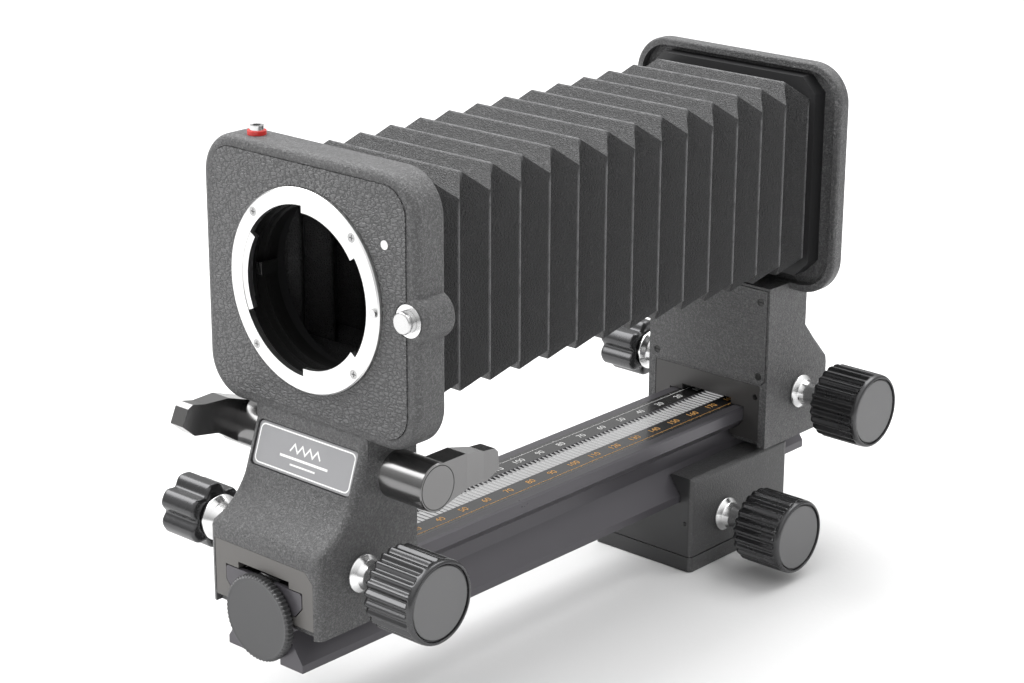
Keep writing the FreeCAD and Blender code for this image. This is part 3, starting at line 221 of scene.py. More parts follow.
def handling_group():
    """Slow cloudy variation of a handled surface, for colour and roughness."""
    tree, given, result = shader_group("HandlingMarks", {"Patch": 12 * MM, "Amount": 0.1},
                                       {"Tone": "NodeSocketFloat", "Smear": "NodeSocketFloat"})
    per_metre = maths(tree, "DIVIDE", 1.0, given.outputs["Patch"])
    cloud = add(tree, "ShaderNodeTexNoise", {"Vector": given.outputs["Vector"], "Scale": per_metre,
                                             "Detail": 5.0, "Roughness": 0.6})
    spread = maths(tree, "SUBTRACT", cloud.outputs[0], 0.5)
    tone = maths(tree, "MULTIPLY_ADD", spread, given.outputs["Amount"], 1.0)
    tree.links.new(tone, result.inputs["Tone"])
    tree.links.new(maths(tree, "MULTIPLY", spread, given.outputs["Amount"]), result.inputs["Smear"])
    return tree


def tooling_group():
    """Fine lines left by machining; they run the way that the caller stretches the coordinates."""
    tree, given, result = shader_group("ToolingLines", {"Pitch": 0.2 * MM}, {"Height": "NodeSocketFloat"})
    per_metre = maths(tree, "DIVIDE", 1.0, given.outputs["Pitch"])
    lines = add(tree, "ShaderNodeTexNoise", {"Vector": given.outputs["Vector"], "Scale": per_metre,
                                             "Detail": 2.0})
    tree.links.new(lines.outputs[0], result.inputs["Height"])
    return tree


def groups():
    """The shared shader groups, built once."""
    makers = {"WrinkleEnamel": wrinkle_group, "PebbleGrain": pebble_group, "HandlingMarks": handling_group,
              "ToolingLines": tooling_group}
    return {name: bpy.data.node_groups.get(name) or make() for name, make in makers.items()}


def place_group(tree, name, vector, **values):
    node = tree.nodes.new("ShaderNodeGroup")
    node.node_tree = groups()[name]
    tree.links.new(vector, node.inputs["Vector"])
    for key, value in values.items():
        node.inputs[key].default_value = value
    return node


def material(name, base, roughness, metallic=0.0, coat=0.0, specular=0.5):
    """Principled material, with its tree, shader and object coordinates."""
    made = bpy.data.materials.new(name)
    made.use_nodes = True
    tree = made.node_tree
    shader = tree.nodes["Principled BSDF"]
    shader.inputs["Base Color"].default_value = (*base, 1.0)
    shader.inputs["Roughness"].default_value = roughness
    shader.inputs["Metallic"].default_value = metallic
    shader.inputs["Coat Weight"].default_value = coat
    shader.inputs["Specular IOR Level"].default_value = specular
    place = tree.nodes.new("ShaderNodeTexCoord").outputs["Object"]
    return made, tree, shader, place


def stretched(tree, vector, scale):
    """Object coordinates scaled unevenly, so that a pattern runs along an axis."""
    node = add(tree, "ShaderNodeMapping", {"Vector": vector})
    node.inputs["Scale"].default_value = scale
    return node.outputs[0]


def mix(tree, factor, first, second):
    node = tree.nodes.new("ShaderNodeMix")
    node.data_type = "RGBA"
    tree.links.new(factor, node.inputs[0])
    for socket, value in ((node.inputs[6], first), (node.inputs[7], second)):
        if isinstance(value, bpy.types.NodeSocket):
            tree.links.new(value, socket)
        else:
            socket.default_value = (*value, 1.0)
    return node.outputs[2]


def bump(tree, shader, height, distance, strength=1.0):
    node = add(tree, "ShaderNodeBump", {"Height": height, "Distance": distance, "Strength": strength})
    tree.links.new(node.outputs[0], shader.inputs["Normal"])


def vary_roughness(tree, shader, place, amount, patch=12 * MM):
    marks = place_group(tree, "HandlingMarks", place, Patch=patch, Amount=amount)
    base = shader.inputs["Roughness"].default_value
    tree.links.new(maths(tree, "ADD", marks.outputs["Smear"], base), shader.inputs["Roughness"])
    return marks


# ---- materials ----
def enamel_material(name, settings, depth, peaks=0.47, smooth_before=None):
    """Wrinkle enamel; the face in front of smooth_before, if any, is machined smooth and dark."""
    made, tree, shader, place = material(name, settings.enamel, 0.42)
    wrinkle = place_group(tree, "WrinkleEnamel", place, Size=settings.wrinkle, Peaks=peaks)
    # painted highlight: the wrinkle peaks are mixed towards the lighter grey
    toned = mix(tree, wrinkle.outputs["Highlight"], tuple(settings.enamel), tuple(settings.fleck))
    height = wrinkle.outputs["Height"]
    if smooth_before is not None:
        along = add(tree, "ShaderNodeSeparateXYZ", {0: place}).outputs[1]
        rough = ramp(tree, along, smooth_before, smooth_before + 0.1 * MM)
        toned = mix(tree, rough, (0.03, 0.03, 0.031), toned)
        height = maths(tree, "MULTIPLY", height, rough)
    tree.links.new(toned, shader.inputs["Base Color"])
    vary_roughness(tree, shader, place, 0.15)
    bump(tree, shader, height, depth)
    return made


def leatherette_material(settings):
    made, tree, shader, place = material("leatherette", (0.06, 0.06, 0.063), 0.4)
    pebble = place_group(tree, "PebbleGrain", stretched(tree, place, (0.75, 1.0, 1.3)), Size=settings.pebble)
    # painted light: the pebble tops are lighter and the valleys darker, as shade falls between the cells
    toned = mix(tree, pebble.outputs["Valley shade"], (0.115, 0.115, 0.117), (0.055, 0.055, 0.056))
    tree.links.new(toned, shader.inputs["Base Color"])
    vary_roughness(tree, shader, place, 0.12)
    bump(tree, shader, pebble.outputs["Height"], 0.32 * MM)
    return made


def cloth_material(settings):
    """Coated cloth; the folds' rubbed edges come from the mesh's crease attribute."""
    made, tree, shader, place = material("bellows_cloth", settings.cloth, 0.42)
    crease = add(tree, "ShaderNodeAttribute", attribute_name="crease").outputs["Fac"]
    worn = add(tree, "ShaderNodeTexNoise", {"Vector": place, "Scale": 260.0, "Detail": 3.0})
    patchy = maths(tree, "MULTIPLY", crease, ramp(tree, worn.outputs[0], 0.05, 0.6))
    toned = mix(tree, patchy, tuple(settings.cloth), tuple(settings.crease))
    tree.links.new(toned, shader.inputs["Base Color"])
    grain = place_group(tree, "PebbleGrain", place, Size=0.7 * MM, Pores=0.5)
    vary_roughness(tree, shader, place, 0.2, 9 * MM)
    bump(tree, shader, grain.outputs["Height"], 0.16 * MM)
    return made


def metal_material(name, base, roughness, scale=(1.0, 1.0, 1.0), depth=0.004 * MM, metallic=1.0):
    """Metal with tooling lines; the scale says which way they run."""
    made, tree, shader, place = material(name, base, roughness, metallic)
    lines = place_group(tree, "ToolingLines", stretched(tree, place, scale), Pitch=0.12 * MM)
    marks = vary_roughness(tree, shader, place, 0.12)
    toned = tree.nodes.new("ShaderNodeHueSaturation")
    toned.inputs["Color"].default_value = (*base, 1.0)
    tree.links.new(marks.outputs["Tone"], toned.inputs["Value"])
    tree.links.new(toned.outputs[0], shader.inputs["Base Color"])
    bump(tree, shader, lines.outputs["Height"], depth)
    return made


def gloss_black_material(name, base, roughness):
    """Black anodised or lacquered metal with faint rubbing."""
    made, tree, shader, place = material(name, base, roughness, coat=0.35)
    shader.inputs["Coat Roughness"].default_value = 0.12
    vary_roughness(tree, shader, place, 0.14, 5 * MM)
    fine = add(tree, "ShaderNodeTexNoise", {"Vector": place, "Scale": 2200.0, "Detail": 2.0})
    bump(tree, shader, fine.outputs[0], 0.004 * MM)
    return made


def ring_turned_material(name, base, roughness, centre, axis, metallic=0.0, depth=0.006 * MM, specular=0.5):
    """Flat face turned on a lathe: fine rings about an axis through the centre."""
    made, tree, shader, place = material(name, base, roughness, metallic, specular=specular)
    moved = add(tree, "ShaderNodeVectorMath", {0: place}, operation="SUBTRACT")
    moved.inputs[1].default_value = centre
    flat = add(tree, "ShaderNodeVectorMath", {0: moved.outputs[0]}, operation="MULTIPLY")
    flat.inputs[1].default_value = tuple(0.0 if k == axis else 1.0 for k in range(3))
    radius = add(tree, "ShaderNodeVectorMath", {0: flat.outputs[0]}, operation="LENGTH").outputs["Value"]
    rings = add(tree, "ShaderNodeTexNoise", {"W": maths(tree, "MULTIPLY", radius, 9000.0), "Detail": 2.0},
                noise_dimensions="1D")
    vary_roughness(tree, shader, place, 0.1)
    bump(tree, shader, rings.outputs[0], depth)
    return made


def printed_material(name, base, roughness=0.4):
    made, tree, shader, place = material(name, base, roughness)
    vary_roughness(tree, shader, place, 0.1, 3 * MM)
    fine = add(tree, "ShaderNodeTexNoise", {"Vector": place, "Scale": 4000.0})
    bump(tree, shader, fine.outputs[0], 0.003 * MM)
    return made


# ---- mesh helpers ----
def new_object(name, mesh):
    made = bpy.data.objects.new(name, mesh)
    bpy.context.scene.collection.objects.link(made)
    return made


def mesh_from(name, points, faces, smooth=True):
    mesh = bpy.data.meshes.new(name)
    mesh.from_pydata([tuple(p) for p in points], [], faces)
    mesh.validate()
    mesh.polygons.foreach_set("use_smooth", [smooth] * len(mesh.polygons))
    return mesh


def recalculated(mesh, merge=0.0):
    """Merge doubles and turn every face outwards."""
    work = bmesh.new()
    work.from_mesh(mesh)
    if merge:
        bmesh.ops.remove_doubles(work, verts=work.verts, dist=merge)
    bmesh.ops.recalc_face_normals(work, faces=work.faces)
    work.to_mesh(mesh)
    work.free()
    return mesh


def lathe(name, profile, axis, centre, segments):
    """Turn (along, radius) points about an X or Y axis through the centre; ends at radius 0 close."""
    points, rows = [], []
    for along, radius in profile:
        ring = []
        count = segments if radius > 0 else 1
        for k in range(count):
            a = TAU * k / segments
            u, v = radius * math.cos(a), radius * math.sin(a)
            if axis == "X":
                place = (along, centre[1] + u, centre[2] + v)
            else:
                place = (centre[0] + u, along, centre[2] + v)
            ring.append(len(points))
            points.append(place)
        rows.append(ring)
    faces = []
    for a, b in zip(rows, rows[1:] + ([] if len(rows[0]) == 1 else rows[:1])):
        for k in range(segments):
            n = (k + 1) % segments
            corners = [a[k % len(a)], a[n % len(a)], b[n % len(b)], b[k % len(b)]]
            unique = list(dict.fromkeys(corners))
            if len(unique) > 2:
                faces.append(unique)
    return recalculated(mesh_from(name, points, faces))


def rounded(profile, radius, steps=4):
    """Round the corners of a lathe profile; the two ends stay."""
    result = [profile[0]]
    for before, corner, after in zip(profile, profile[1:], profile[2:]):
        c = Vector(corner)
        a, b = Vector(before) - c, Vector(after) - c
        reach = min(radius, a.length * 0.45, b.length * 0.45)
        start, end = c + a.normalized() * reach, c + b.normalized() * reach
        for k in range(steps + 1):
            t = k / steps
            result.append(tuple((1 - t) ** 2 * start + 2 * t * (1 - t) * c + t * t * end))
    return result + [profile[-1]]


def sharp_by_angle(mesh, degrees=32):
    """Smooth shading with edges kept sharp above the angle."""
    mesh.polygons.foreach_set("use_smooth", [True] * len(mesh.polygons))
    mesh.set_sharp_from_angle(angle=math.radians(degrees))


def finished(piece, body, slot, *nodes):
    """Parent a piece to the empty of the body it rides on and hide the nodes it stands for; the slot is not
    used.
    """
    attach(piece, body)
    if nodes:
        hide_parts(*nodes)
    return piece


def applied(piece):
    """Turn the evaluated object into a plain mesh and drop its modifiers."""
    bpy.context.view_layer.update()
    graph = bpy.context.evaluated_depsgraph_get()
    mesh = bpy.data.meshes.new_from_object(piece.evaluated_get(graph))
    piece.modifiers.clear()
    piece.data = mesh
    return piece


def paint(node, finish):
    """Give a CAD node's object its material."""
    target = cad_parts[node]
    for slot in target.material_slots:
        slot.material = finish
    if not target.material_slots:
        target.data.materials.append(finish)


def centre_of(node):
    low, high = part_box(node)
    return (Vector(low) + Vector(high)) / 2


# ---- geometry node trees ----
def geometry_group(name, inputs):
    """Geometry node group with a Geometry input and output, and the named inputs."""
    tree = bpy.data.node_groups.new(name, "GeometryNodeTree")
    tree.interface.new_socket("Geometry", in_out="INPUT", socket_type="NodeSocketGeometry")
    for label, kind in inputs.items():
        tree.interface.new_socket(label, in_out="INPUT", socket_type="NodeSocket" + kind)
    tree.interface.new_socket("Geometry", in_out="OUTPUT", socket_type="NodeSocketGeometry")
    return tree, tree.nodes.new("NodeGroupInput"), tree.nodes.new("NodeGroupOutput")


def close_tree(tree, geometry, given, result):
    """End a tree in Realize Instances and Set Material."""
    real = add(tree, "GeometryNodeRealizeInstances", {0: geometry})
    painted = add(tree, "GeometryNodeSetMaterial", {"Geometry": real.outputs[0],
                                                    "Material": given.outputs["Material"]})
    tree.links.new(painted.outputs[0], result.inputs[0])


def flute_tree():
    """Cuts grooves round a turned piece: each point's radius shrinks by a wave of its angle."""
    found = bpy.data.node_groups.get("Flutes")
    if found:
        return found
    tree, given, result = geometry_group("Flutes", {"Count": "Int", "Depth": "Float", "Narrowness": "Float",
                                                    "Axis point": "Vector", "Start": "Float",
                                                    "End": "Float", "Run out": "Float",
                                                    "Inner radius": "Float", "Turned about Y": "Float",
                                                    "Material": "Material"})
    value = given.outputs
    place = tree.nodes.new("GeometryNodeInputPosition").outputs[0]
    local = add(tree, "ShaderNodeVectorMath", {0: place, 1: value["Axis point"]}, operation="SUBTRACT")
    parts = add(tree, "ShaderNodeSeparateXYZ", {0: local.outputs[0]}).outputs
    whole = add(tree, "ShaderNodeSeparateXYZ", {0: place}).outputs
    about_y = value["Turned about Y"]
    side = maths(tree, "ADD", maths(tree, "MULTIPLY", parts[0], about_y),
                 maths(tree, "MULTIPLY", parts[1], maths(tree, "SUBTRACT", 1.0, about_y)))
    along = maths(tree, "ADD", maths(tree, "MULTIPLY", whole[1], about_y),
                  maths(tree, "MULTIPLY", whole[0], maths(tree, "SUBTRACT", 1.0, about_y)))
    angle = maths(tree, "ARCTAN2", parts[2], side)
    radius = maths(tree, "SQRT", maths(tree, "ADD", maths(tree, "MULTIPLY", side, side),
                                       maths(tree, "MULTIPLY", parts[2], parts[2])))
    wave = maths(tree, "COSINE", maths(tree, "MULTIPLY", angle, value["Count"]))
    groove = maths(tree, "POWER", maths(tree, "MULTIPLY_ADD", wave, 0.5, 0.5), value["Narrowness"])
    open_end = add(tree, "ShaderNodeMapRange",
                   {0: along, 1: value["Start"], 2: maths(tree, "ADD", value["Start"], value["Run out"])},
                   interpolation_type="SMOOTHSTEP").outputs[0]
    far_end = add(tree, "ShaderNodeMapRange",
                  {0: along, 1: value["End"], 2: maths(tree, "SUBTRACT", value["End"], value["Run out"])},
                  interpolation_type="SMOOTHSTEP").outputs[0]
    full_depth = maths(tree, "ADD", value["Inner radius"], value["Depth"])
    outside = add(tree, "ShaderNodeMapRange", {0: radius, 1: value["Inner radius"], 2: full_depth},
                  interpolation_type="LINEAR").outputs[0]
    window = maths(tree, "MULTIPLY", maths(tree, "MULTIPLY", open_end, far_end), outside)
    cut = maths(tree, "MULTIPLY", maths(tree, "MULTIPLY", groove, window), value["Depth"])
    share = maths(tree, "DIVIDE", cut, maths(tree, "MAXIMUM", radius, 1e-6))
    pull_side = maths(tree, "MULTIPLY", maths(tree, "MULTIPLY", side, share), -1.0)
    pull_up = maths(tree, "MULTIPLY", maths(tree, "MULTIPLY", parts[2], share), -1.0)
    shift = add(tree, "ShaderNodeCombineXYZ",
                {0: maths(tree, "MULTIPLY", pull_side, about_y),
                 1: maths(tree, "MULTIPLY", pull_side, maths(tree, "SUBTRACT", 1.0, about_y)),
                 2: pull_up}).outputs[0]
    moved = add(tree, "GeometryNodeSetPosition", {"Geometry": value["Geometry"], "Offset": shift})
    close_tree(tree, moved.outputs[0], given, result)
    return tree


def tick_tree():
    """A row of thin printed bars."""
    found = bpy.data.node_groups.get("Ticks")
    if found:
        return found
    tree, given, result = geometry_group("Ticks", {"Count": "Int", "First": "Vector", "Step": "Vector",
                                                   "Bar": "Vector", "Material": "Material"})
    row = add(tree, "GeometryNodeMeshLine", {"Count": given.outputs["Count"],
                                             "Start Location": given.outputs["First"],
                                             "Offset": given.outputs["Step"]})
    bar = add(tree, "GeometryNodeMeshCube", {"Size": given.outputs["Bar"]})
    spread = add(tree, "GeometryNodeInstanceOnPoints", {"Points": row.outputs[0], "Instance": bar.outputs[0]})
    close_tree(tree, spread.outputs[0], given, result)
    return tree


def with_nodes(piece, tree, **values):
    """Run a geometry node tree on a piece with the given inputs, and keep its mesh."""
    modifier = piece.modifiers.new("Build", "NODES")
    modifier.node_group = tree
    wanted = {key.replace("_", " "): value for key, value in values.items()}
    for item in tree.interface.items_tree:
        if item.in_out == "INPUT" and item.name in wanted:
            modifier[item.identifier] = wanted[item.name]
    return applied(piece)


# ---- bellows ----
def fold_wave(line):
    """1 on a side fold (even lines), 0 on a top fold (odd lines), slightly rounded at both."""
    sharpness = 0.997
    return 0.5 + 0.5 * math.asin(sharpness * math.cos(math.pi * line)) / math.asin(sharpness)


def cloth_ring(half_x, half_z, corner, across, up):
    """Points (x, z, side, share) round a rectangle with small round corners."""
    ring = []
    corners = ((1, 1, 0), (-1, 1, 1), (-1, -1, 2), (1, -1, 3))
    for index, (sx, sz, quarter) in enumerate(corners):
        cx, cz = sx * (half_x - corner), sz * (half_z - corner)
        for k in range(3):
            a = math.pi / 2 * (quarter + k / 2)
            ring.append((cx + corner * math.cos(a), cz + corner * math.sin(a), index % 2, 0.0))
        nx, nz, _ = corners[(index + 1) % 4]
        ex, ez = nx * (half_x - corner), nz * (half_z - corner)
        flat_top = index % 2 == 0
        count = across if flat_top else up
        for k in range(1, count):
            t = k / count
            if flat_top:
                ring.append((cx + (ex - cx) * t, sz * half_z, 0, t))
            else:
                ring.append((sx * half_x, cz + (ez - cz) * t, 1, t))
    return ring


def bellows_half(node, first_line, settings):
    """One half of the bellows, between its end frame and the middle fold."""
    low, high = (Vector(c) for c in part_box(node))
    middle = (low + high) / 2
    half_x, half_z = (high.x - low.x) / 2, (high.z - low.z) / 2
    lines = 2 * FOLDS_PER_HALF
    pitch = (high.y - low.y) / lines
    shares = (0.0, 0.03, 0.09, 0.2, 0.35, 0.5, 0.65, 0.8, 0.91, 0.97)
    stations = [k + s for k in range(lines) for s in shares] + [float(lines)]
    points, faces, crease = [], [], []
    for t in stations:
        wave = fold_wave(first_line + t)
        hx = half_x - settings.fold_depth * (1 - wave)
        hz = half_z - settings.fold_depth * wave
        part = t - math.floor(t)
        for x, z, side, share in cloth_ring(hx, hz, 0.35 * MM, 22, 18):
            bow = settings.panel_bow * math.sin(math.pi * part) * math.sin(math.pi * share) ** 0.5
            hills = noise.noise(Vector((x, t * pitch * 1.3, z)) * 95.0)
            ripple = 0.16 * MM * hills * math.sin(math.pi * part)
            pull = bow + ripple
            if side == 0:
                z -= math.copysign(pull, z)
            else:
                x -= math.copysign(pull, x)
            points.append((middle.x + x, low.y + t * pitch, middle.z + z))
            outer = (1 - wave) if side == 0 else wave
            crease.append(max(0.0, (outer - 0.93) / 0.07))
    count = len(points) // len(stations)
    for row in range(len(stations) - 1):
        for k in range(count):
            n = (k + 1) % count
            a, b = row * count, (row + 1) * count
            faces.append((a + k, a + n, b + n, b + k))
    mesh = mesh_from(node + "_cloth", points, faces)
    layer = mesh.attributes.new("crease", "FLOAT", "POINT")
    layer.data.foreach_set("value", crease)
    recalculated(mesh)
    piece = new_object(node + "_cloth", mesh)
    skin = piece.modifiers.new("Skin", "SOLIDIFY")
    skin.thickness = CLOTH_THICKNESS
    skin.offset = -1.0
    return applied(piece)


# ---- operators ----
class BellowsOperator:
    bl_options = {"REGISTER", "UNDO"}

    def execute(self, context):
        self.make(context)
        return {"FINISHED"}


class BELLOWS_OT_cloth(BellowsOperator, bpy.types.Operator):
    """Folds the two halves of the bellows and parents each to the rail's empty"""
    bl_idname = "bellows_unit.cloth"
    bl_label = "Folded cloth"

    def make(self, context):
        settings = context.scene.bellows_cloth
        finish = cloth_material(settings)
        for node, joint, first in (("bellows_front", "front_slide", 0),
                                   ("bellows_rear", "rear_slide", 2 * FOLDS_PER_HALF)):
            piece = bellows_half(node, first, settings)
            piece.data.materials.append(finish)
            finished(piece, "rail", "bellows_cloth", node)
            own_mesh(piece)


class BELLOWS_OT_castings(BellowsOperator, bpy.types.Operator):
    """Paints the castings, frames and plates"""
    bl_idname = "bellows_unit.castings"
    bl_label = "Castings and plates"

    def make(self, context):
        settings = context.scene.bellows_paint
        enamel = enamel_material("crackle_paint", settings, 0.34 * MM)
        block_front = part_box("block_body")[0][1]
        block = enamel_material("block_paint", settings, 0.18 * MM, 0.58, block_front + 0.05 * MM)
        block_hole(block_front)
        plate = metal_material("plate_anodised", (0.125, 0.12, 0.115), 0.4, metallic=0.25)
        dark_plate = metal_material("rear_plate_anodised", (0.06, 0.058, 0.057), 0.36, metallic=0.3)
        paint("front_casting", enamel)
        paint("rear_casting", enamel)
        paint("rear_cover_panel", enamel)
        paint("block_body", block)
        paint("block_base_plate", block)
        paint("front_leatherette", leatherette_material(settings))
        paint("front_guide_plate", plate)
        paint("rear_guide_plate", dark_plate)
        matt = printed_material("frame_black", (0.018, 0.018, 0.019), 0.5)
        paint("bellows_front_frame", matt)
        paint("bellows_rear_frame", matt)
        paint("front_index_dot", printed_material("white_dot", (0.85, 0.85, 0.84), 0.3))


def block_hole(front):
    """Near-black disc in the block's front face: painted shade standing for a small hole."""
    x, z = BLOCK_HOLE_AT
    outside, inside = front - PRINT_LIFT, front + 0.3 * MM
    profile = [(outside, BLOCK_HOLE_R), (outside, 0.0), (inside, 0.0), (inside, BLOCK_HOLE_R)]
    hole = lathe("block_hole", profile, "Y", Vector((x, 0.0, z)), 24)
    # painted shade: the near-black disc stands in for the dark inside of the hole
    hole.materials.append(printed_material("hole_shade_black", (0.004, 0.004, 0.004), 0.6))
    finished(new_object("block_hole", hole), "block", "block_paint")


class BELLOWS_OT_metal(BellowsOperator, bpy.types.Operator):
    """Finishes the mounts, bushes, shafts and screws"""
    bl_idname = "bellows_unit.metal"
    bl_label = "Bright metal"

    def make(self, context):
        ring_centre = centre_of("lens_mount_ring")
        satin = ring_turned_material("satin_chrome", (0.78, 0.78, 0.775), 0.3, ring_centre, 1, 1.0)
        bright = metal_material("bright_chrome", (0.76, 0.76, 0.76), 0.2, depth=0.002 * MM)
        steel = metal_material("plain_steel", (0.6, 0.6, 0.6), 0.25)
        dark = metal_material("dark_screws", (0.05, 0.05, 0.05), 0.35)
        baffle = ring_turned_material("black_baffle", (0.006, 0.006, 0.006), 0.45, ring_centre, 1,
                                      depth=0.02 * MM, specular=0.35)
        for node in ("lens_mount_ring", "camera_mount_ring", "lens_springs", "tripod_bush"):
            paint(node, satin)
        paint("lens_mount_screws", metal_material("mount_screws", (0.42, 0.42, 0.42), 0.3))
        for node in ("release_collar", "cable_socket", "stop_down_washer", "lever_lock_washer",
                     "upper_rack", "lower_rack"):
            paint(node, bright)
        for prefix, body in (("front", "lens_standard"), ("rear", "camera_standard"), ("block", "block")):
            turned_bush(prefix + "_bush", body, bright)
            turned_cone(prefix + "_lock_cone", body, bright)
        for node in ("front_pinion_shaft", "rear_pinion_shaft", "block_pinion_shaft", "front_lock_screw",
                     "rear_lock_screw", "block_lock_screw", "lens_release_button", "ring_release_button",
                     "lens_lock_pin"):
            paint(node, steel)
        for node in ("base_plate_screws", "rail_stop_screws", "rear_panel_screws", "ring_retainer"):
            paint(node, dark)
        for node in ("front_throat", "throat_retainer", "aperture_ring"):
            paint(node, baffle)
        paint("cable_socket_ring", printed_material("red_ring", (0.62, 0.03, 0.025), 0.25))
        aperture_tab_tip(steel)


def aperture_tab_tip(finish):
    """Bare steel tip of the tab on the turning ring in the throat."""
    low, high = (Vector(c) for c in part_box("aperture_ring"))
    place = ((low.x + high.x) / 2 - 22.4 * MM, low.y - 0.05 * MM, (low.z + high.z) / 2 + 1.1 * MM)
    tab = new_object("aperture_tab_tip", bpy.data.meshes.new("aperture_tab_tip"))
    with_nodes(tab, tick_tree(), Count=1, Step=(0.0, 0.0, 0.0), Bar=(2.0 * MM, 0.2 * MM, 3.4 * MM),
               First=place, Material=finish)
    finished(tab, "aperture_drive", "plain_steel")


def turned_bush(node, body, finish):
    """Trumpet-shaped bush: flange on the wall, slim waist and a lip under the knob."""
    low, high = (Vector(c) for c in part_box(node))
    centre = (low + high) / 2
    wall, end, flange = high.x - 10.7 * MM, high.x, (high.z - low.z) / 2
    profile = [(low.x, 2.55 * MM), (low.x, 3.98 * MM), (wall, 3.98 * MM), (wall, flange),
               (wall + 0.9 * MM, flange), (wall + 2.2 * MM, flange - 1.5 * MM), (wall + 4.0 * MM, 3.6 * MM),
               (end - 2.8 * MM, 3.6 * MM), (end - 1.4 * MM, 4.75 * MM), (end, 4.8 * MM), (end, 2.55 * MM)]
    turned_metal(node, body, profile, centre, finish)


def turned_cone(node, body, finish):
    """Sleeve on the left wall that widens to a cone under the lock knob."""
    low, high = (Vector(c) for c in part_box(node))
    centre = (low + high) / 2
    wall, end, widest = high.x, low.x, (high.z - low.z) / 2
    profile = [(wall, 3.05 * MM), (wall, 5.7 * MM), (wall - 1.0 * MM, 5.7 * MM), (wall - 2.0 * MM, 4.6 * MM),
               (end + 7.0 * MM, 4.6 * MM), (end + 3.0 * MM, widest - 1.2 * MM), (end + 1.2 * MM, widest),
               (end, widest - 0.3 * MM), (end, 3.05 * MM)]
    turned_metal(node, body, profile, centre, finish)


def turned_metal(node, body, profile, centre, finish):
    mesh = lathe(node + "_turned", rounded(profile, 0.35 * MM, 3), "X", centre, 72)
    piece = new_object(node + "_turned", mesh)
    sharp_by_angle(piece.data, 40)
    piece.data.materials.append(finish)
    finished(piece, body, "bright_chrome", node)


class BELLOWS_OT_levers(BellowsOperator, bpy.types.Operator):
    """Finishes the two levers"""
    bl_idname = "bellows_unit.levers"
    bl_label = "Levers"

    def make(self, context):
        gloss = metal_material("lever_black", (0.19, 0.188, 0.188), 0.2, metallic=0.92, depth=0.001 * MM)
        line = printed_material("lever_line", (0.004, 0.004, 0.004), 0.5)
        for node, body, washer in (("stop_down_lever", "stop_down", "stop_down_washer"),
                                   ("lever_lock", "lever_lock", "lever_lock_washer")):
            paint(node, gloss)
            hub_line(node, body, centre_of(washer), line)


def hub_line(node, body, centre, finish):
    """Fine dark ring near the edge of a lever's flat outer end."""
    low, high = (Vector(c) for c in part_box(node))
    outer, way = (high.x, 1) if high.x > 0 else (low.x, -1)
    proud, sunk = outer + way * PRINT_LIFT, outer - way * 0.2 * MM
    inner_r, outer_r = 6.15 * MM, 6.4 * MM
    rim = [(proud, inner_r), (proud, outer_r), (sunk, outer_r), (sunk, inner_r)]
    ring = new_object(node + "_line", lathe(node + "_line", rim, "X", centre, 64))
    ring.data.materials.append(finish)
    finished(ring, body, "lever_black")


class BELLOWS_OT_rail(BellowsOperator, bpy.types.Operator):
    """Finishes the rail"""
    bl_idname = "bellows_unit.rail"
    bl_label = "Rail"

    def make(self, context):
        anodised = metal_material("rail_anodised", (0.085, 0.081, 0.09), 0.3, scale=(1.0, 0.02, 1.0),
                                  depth=0.006 * MM, metallic=0.35)
        paint("rail", anodised)


class BELLOWS_OT_scales(BellowsOperator, bpy.types.Operator):
    """Prints the figures and marks on the rail's two scales"""
    bl_idname = "bellows_unit.scales"
    bl_label = "Scales"

    def make(self, context):
        black = gloss_black_material("scale_black", (0.01, 0.01, 0.01), 0.25)
        white = printed_material("scale_white", (0.8, 0.8, 0.79))
        orange = printed_material("scale_orange", (0.8, 0.42, 0.12))
        for node, ink, slot, start, step in (("left_scale", white, "left_scale_print", 190, -10),
                                             ("right_scale", orange, "right_scale_print", 0, 10)):
            paint(node, black)
            print_scale(node, ink, slot, start, step)


